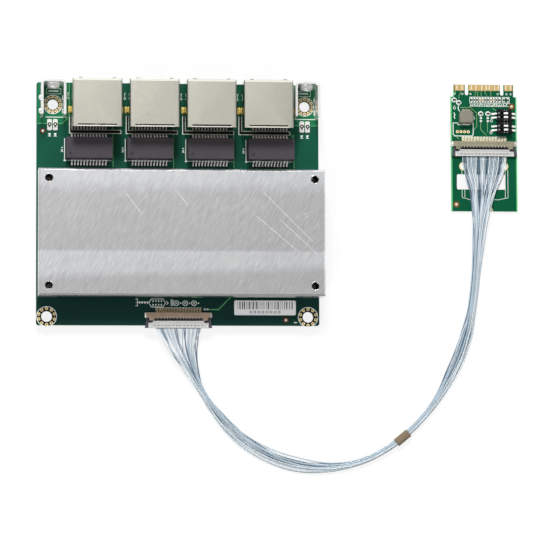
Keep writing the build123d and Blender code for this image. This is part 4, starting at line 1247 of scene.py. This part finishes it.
def width_at(distance):
    """How wide the wires lie at this distance from the main board's plug, by one smooth curve."""
    for index in range(len(harness_widths) - 1):
        (start, before), (end, after) = harness_widths[index], harness_widths[index + 1]
        if distance <= end * mm:
            reach = end - start
            step = max(0.0, (distance / mm - start) / reach)
            rest = 1 - step
            width = before * (1 + 2 * step) * rest ** 2 + after * step ** 2 * (1 + 2 * rest)
            width += reach * step * rest * (width_slopes[index] * rest - width_slopes[index + 1] * step)
            return width * mm
    return fan_width


def route_line(points):
    """The smooth line that the harness follows: points read from the route's own spline."""
    curve = bpy.data.curves.new("harness_route", "CURVE")
    curve.dimensions = "3D"
    spline = curve.splines.new("NURBS")
    spline.points.add(len(points) - 1)
    for target, point in zip(spline.points, points):
        target.co = (*(Vector(point) * mm), 1)
    spline.order_u = 3
    spline.use_endpoint_u = True
    spline.resolution_u = 11
    holder = bpy.data.objects.new("harness_route", curve)
    mesh = bpy.data.meshes.new_from_object(holder)
    line = [vertex.co.copy() for vertex in mesh.vertices]
    bpy.data.meshes.remove(mesh)
    bpy.data.objects.remove(holder)
    bpy.data.curves.remove(curve)
    return line


def tube(name, line, diameter, sides):
    """A closed round tube round a line of points."""
    points = []
    for index, centre in enumerate(line):
        ahead = line[min(index + 1, len(line) - 1)] - line[max(index - 1, 0)]
        beside = Vector((-ahead.y, ahead.x, 0)).normalized()
        above = ahead.cross(beside).normalized()
        for corner in range(sides):
            angle = math.tau * corner / sides
            points.append(centre + (beside * math.cos(angle) + above * math.sin(angle)) * diameter / 2)
    faces = [
        (ring * sides + corner, ring * sides + (corner + 1) % sides,
         (ring + 1) * sides + (corner + 1) % sides, (ring + 1) * sides + corner)
        for ring in range(len(line) - 1) for corner in range(sides)
    ]
    faces.append(tuple(reversed(range(sides))))
    faces.append(tuple(range((len(line) - 1) * sides, len(line) * sides)))
    mesh = bpy.data.meshes.new(name)
    mesh.from_pydata(points, [], faces)
    mesh.shade_smooth()
    piece = bpy.data.objects.new(name, mesh)
    bpy.context.scene.collection.objects.link(piece)
    return piece


centre_line = route_line(harness_route)
distances = [0.0]
for before, after in zip(centre_line, centre_line[1:]):
    distances.append(distances[-1] + (after - before).length)
stretch = harness_widths[-1][0] * mm / distances[-1]
distances = [distance * stretch for distance in distances]
golden_angle = math.radians(137.508)
packing = sorted(
    (
        math.sqrt((index + 0.5) / wire_count) * math.cos(index * golden_angle),
        math.sqrt((index + 0.5) / wire_count) * math.sin(index * golden_angle),
    )
    for index in range(wire_count)
)
# The slate jackets are partly real darker wires and partly painted shade for the dark gaps between wires.
jackets = [
    finish(f"wire_jacket_{name}", colour, coat=0.3, tone=0.3, tone_scale=150.0, roughness=roughness)
    for name, colour, roughness in (
        ("pale", (0.7, 0.75, 0.78), 0.3), ("blue", (0.42, 0.51, 0.58), 0.28),
        ("slate", (0.12, 0.18, 0.25), 0.28),
    )
]
jacket_order = (0, 1, 2, 0, 1, 0, 1, 0, 2, 1)
draw = random.Random(wires_seed)
lift_start, lift_end = 18 * mm, 26 * mm
set_down_start, set_down_end = 150 * mm, 168 * mm
stray_spread = 0.4 * mm
square_reach = 9 * mm
flattening = 0.8
for index in range(wire_count):
    rank = (2 * index + 1 - wire_count) / (wire_count - 1)
    inward, upward = packing[index]
    stray = draw.uniform(0.05, 0.3)
    swing = draw.uniform(50, 110) * mm
    phase = draw.uniform(0, math.tau)
    cross = draw.uniform(-1, 1)
    line = []
    for place, (centre, distance) in enumerate(zip(centre_line, distances)):
        ahead = centre_line[min(place + 1, len(centre_line) - 1)] - centre_line[max(place - 1, 0)]
        turned = smooth(0, square_reach, distance)
        straight = smooth(0, square_reach, distances[-1] - distance)
        beside = Vector((-ahead.y, ahead.x, 0)).normalized()
        beside = (Vector((1, 0, 0)) * (1 - turned) + beside * turned).normalized()
        beside = (Vector((-1, 0, 0)) * (1 - straight) + beside * straight).normalized()
        width = width_at(distance)
        flat = smooth(flat_start, fan_width, width)
        half = (width - wire_diameter * (1 - flat)) / 2
        loose = smooth(bundle_width, loose_width, width) * (1 - flat)
        sideways = half * ((1 - flat) * inward + flat * rank)
        sideways += loose * stray * half * math.sin(math.tau * distance / swing + phase)
        sideways += flat * (1 - flat) * 4 * stray_spread * cross
        height = bundle_width * (bundle_width / width) ** flattening
        rise = (1 - flat) * upward * (height - wire_diameter) / 2
        laid = smooth(lift_start, lift_end, distance) * (1 - smooth(set_down_start, set_down_end, distance))
        drop = laid * (centre.z - height / 2 - table_clearance)
        line.append(centre + beside * sideways + Vector((0, 0, rise - drop)))
    wire = tube(f"wire_{index + 1}", line, wire_diameter, wire_sides)
    wire.data.materials.append(jackets[jacket_order[index * 2 // 3 % len(jacket_order)]])
    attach(wire, "module")
    if index == 0:
        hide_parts("harness_board_fan", "harness_bundle", "harness_card_fan")

# The tape sleeve
# Tan tape is lapped round the bundle half way, so its last edge stands a little proud.
tape_finish = finish(
    "tan_tape", (0.21, 0.155, 0.095), tone=0.25, tone_scale=400.0, grain_tone=0.2, roughness=0.4,
    relief=0.00001,
)
dress(tape_finish, "harness_tape")
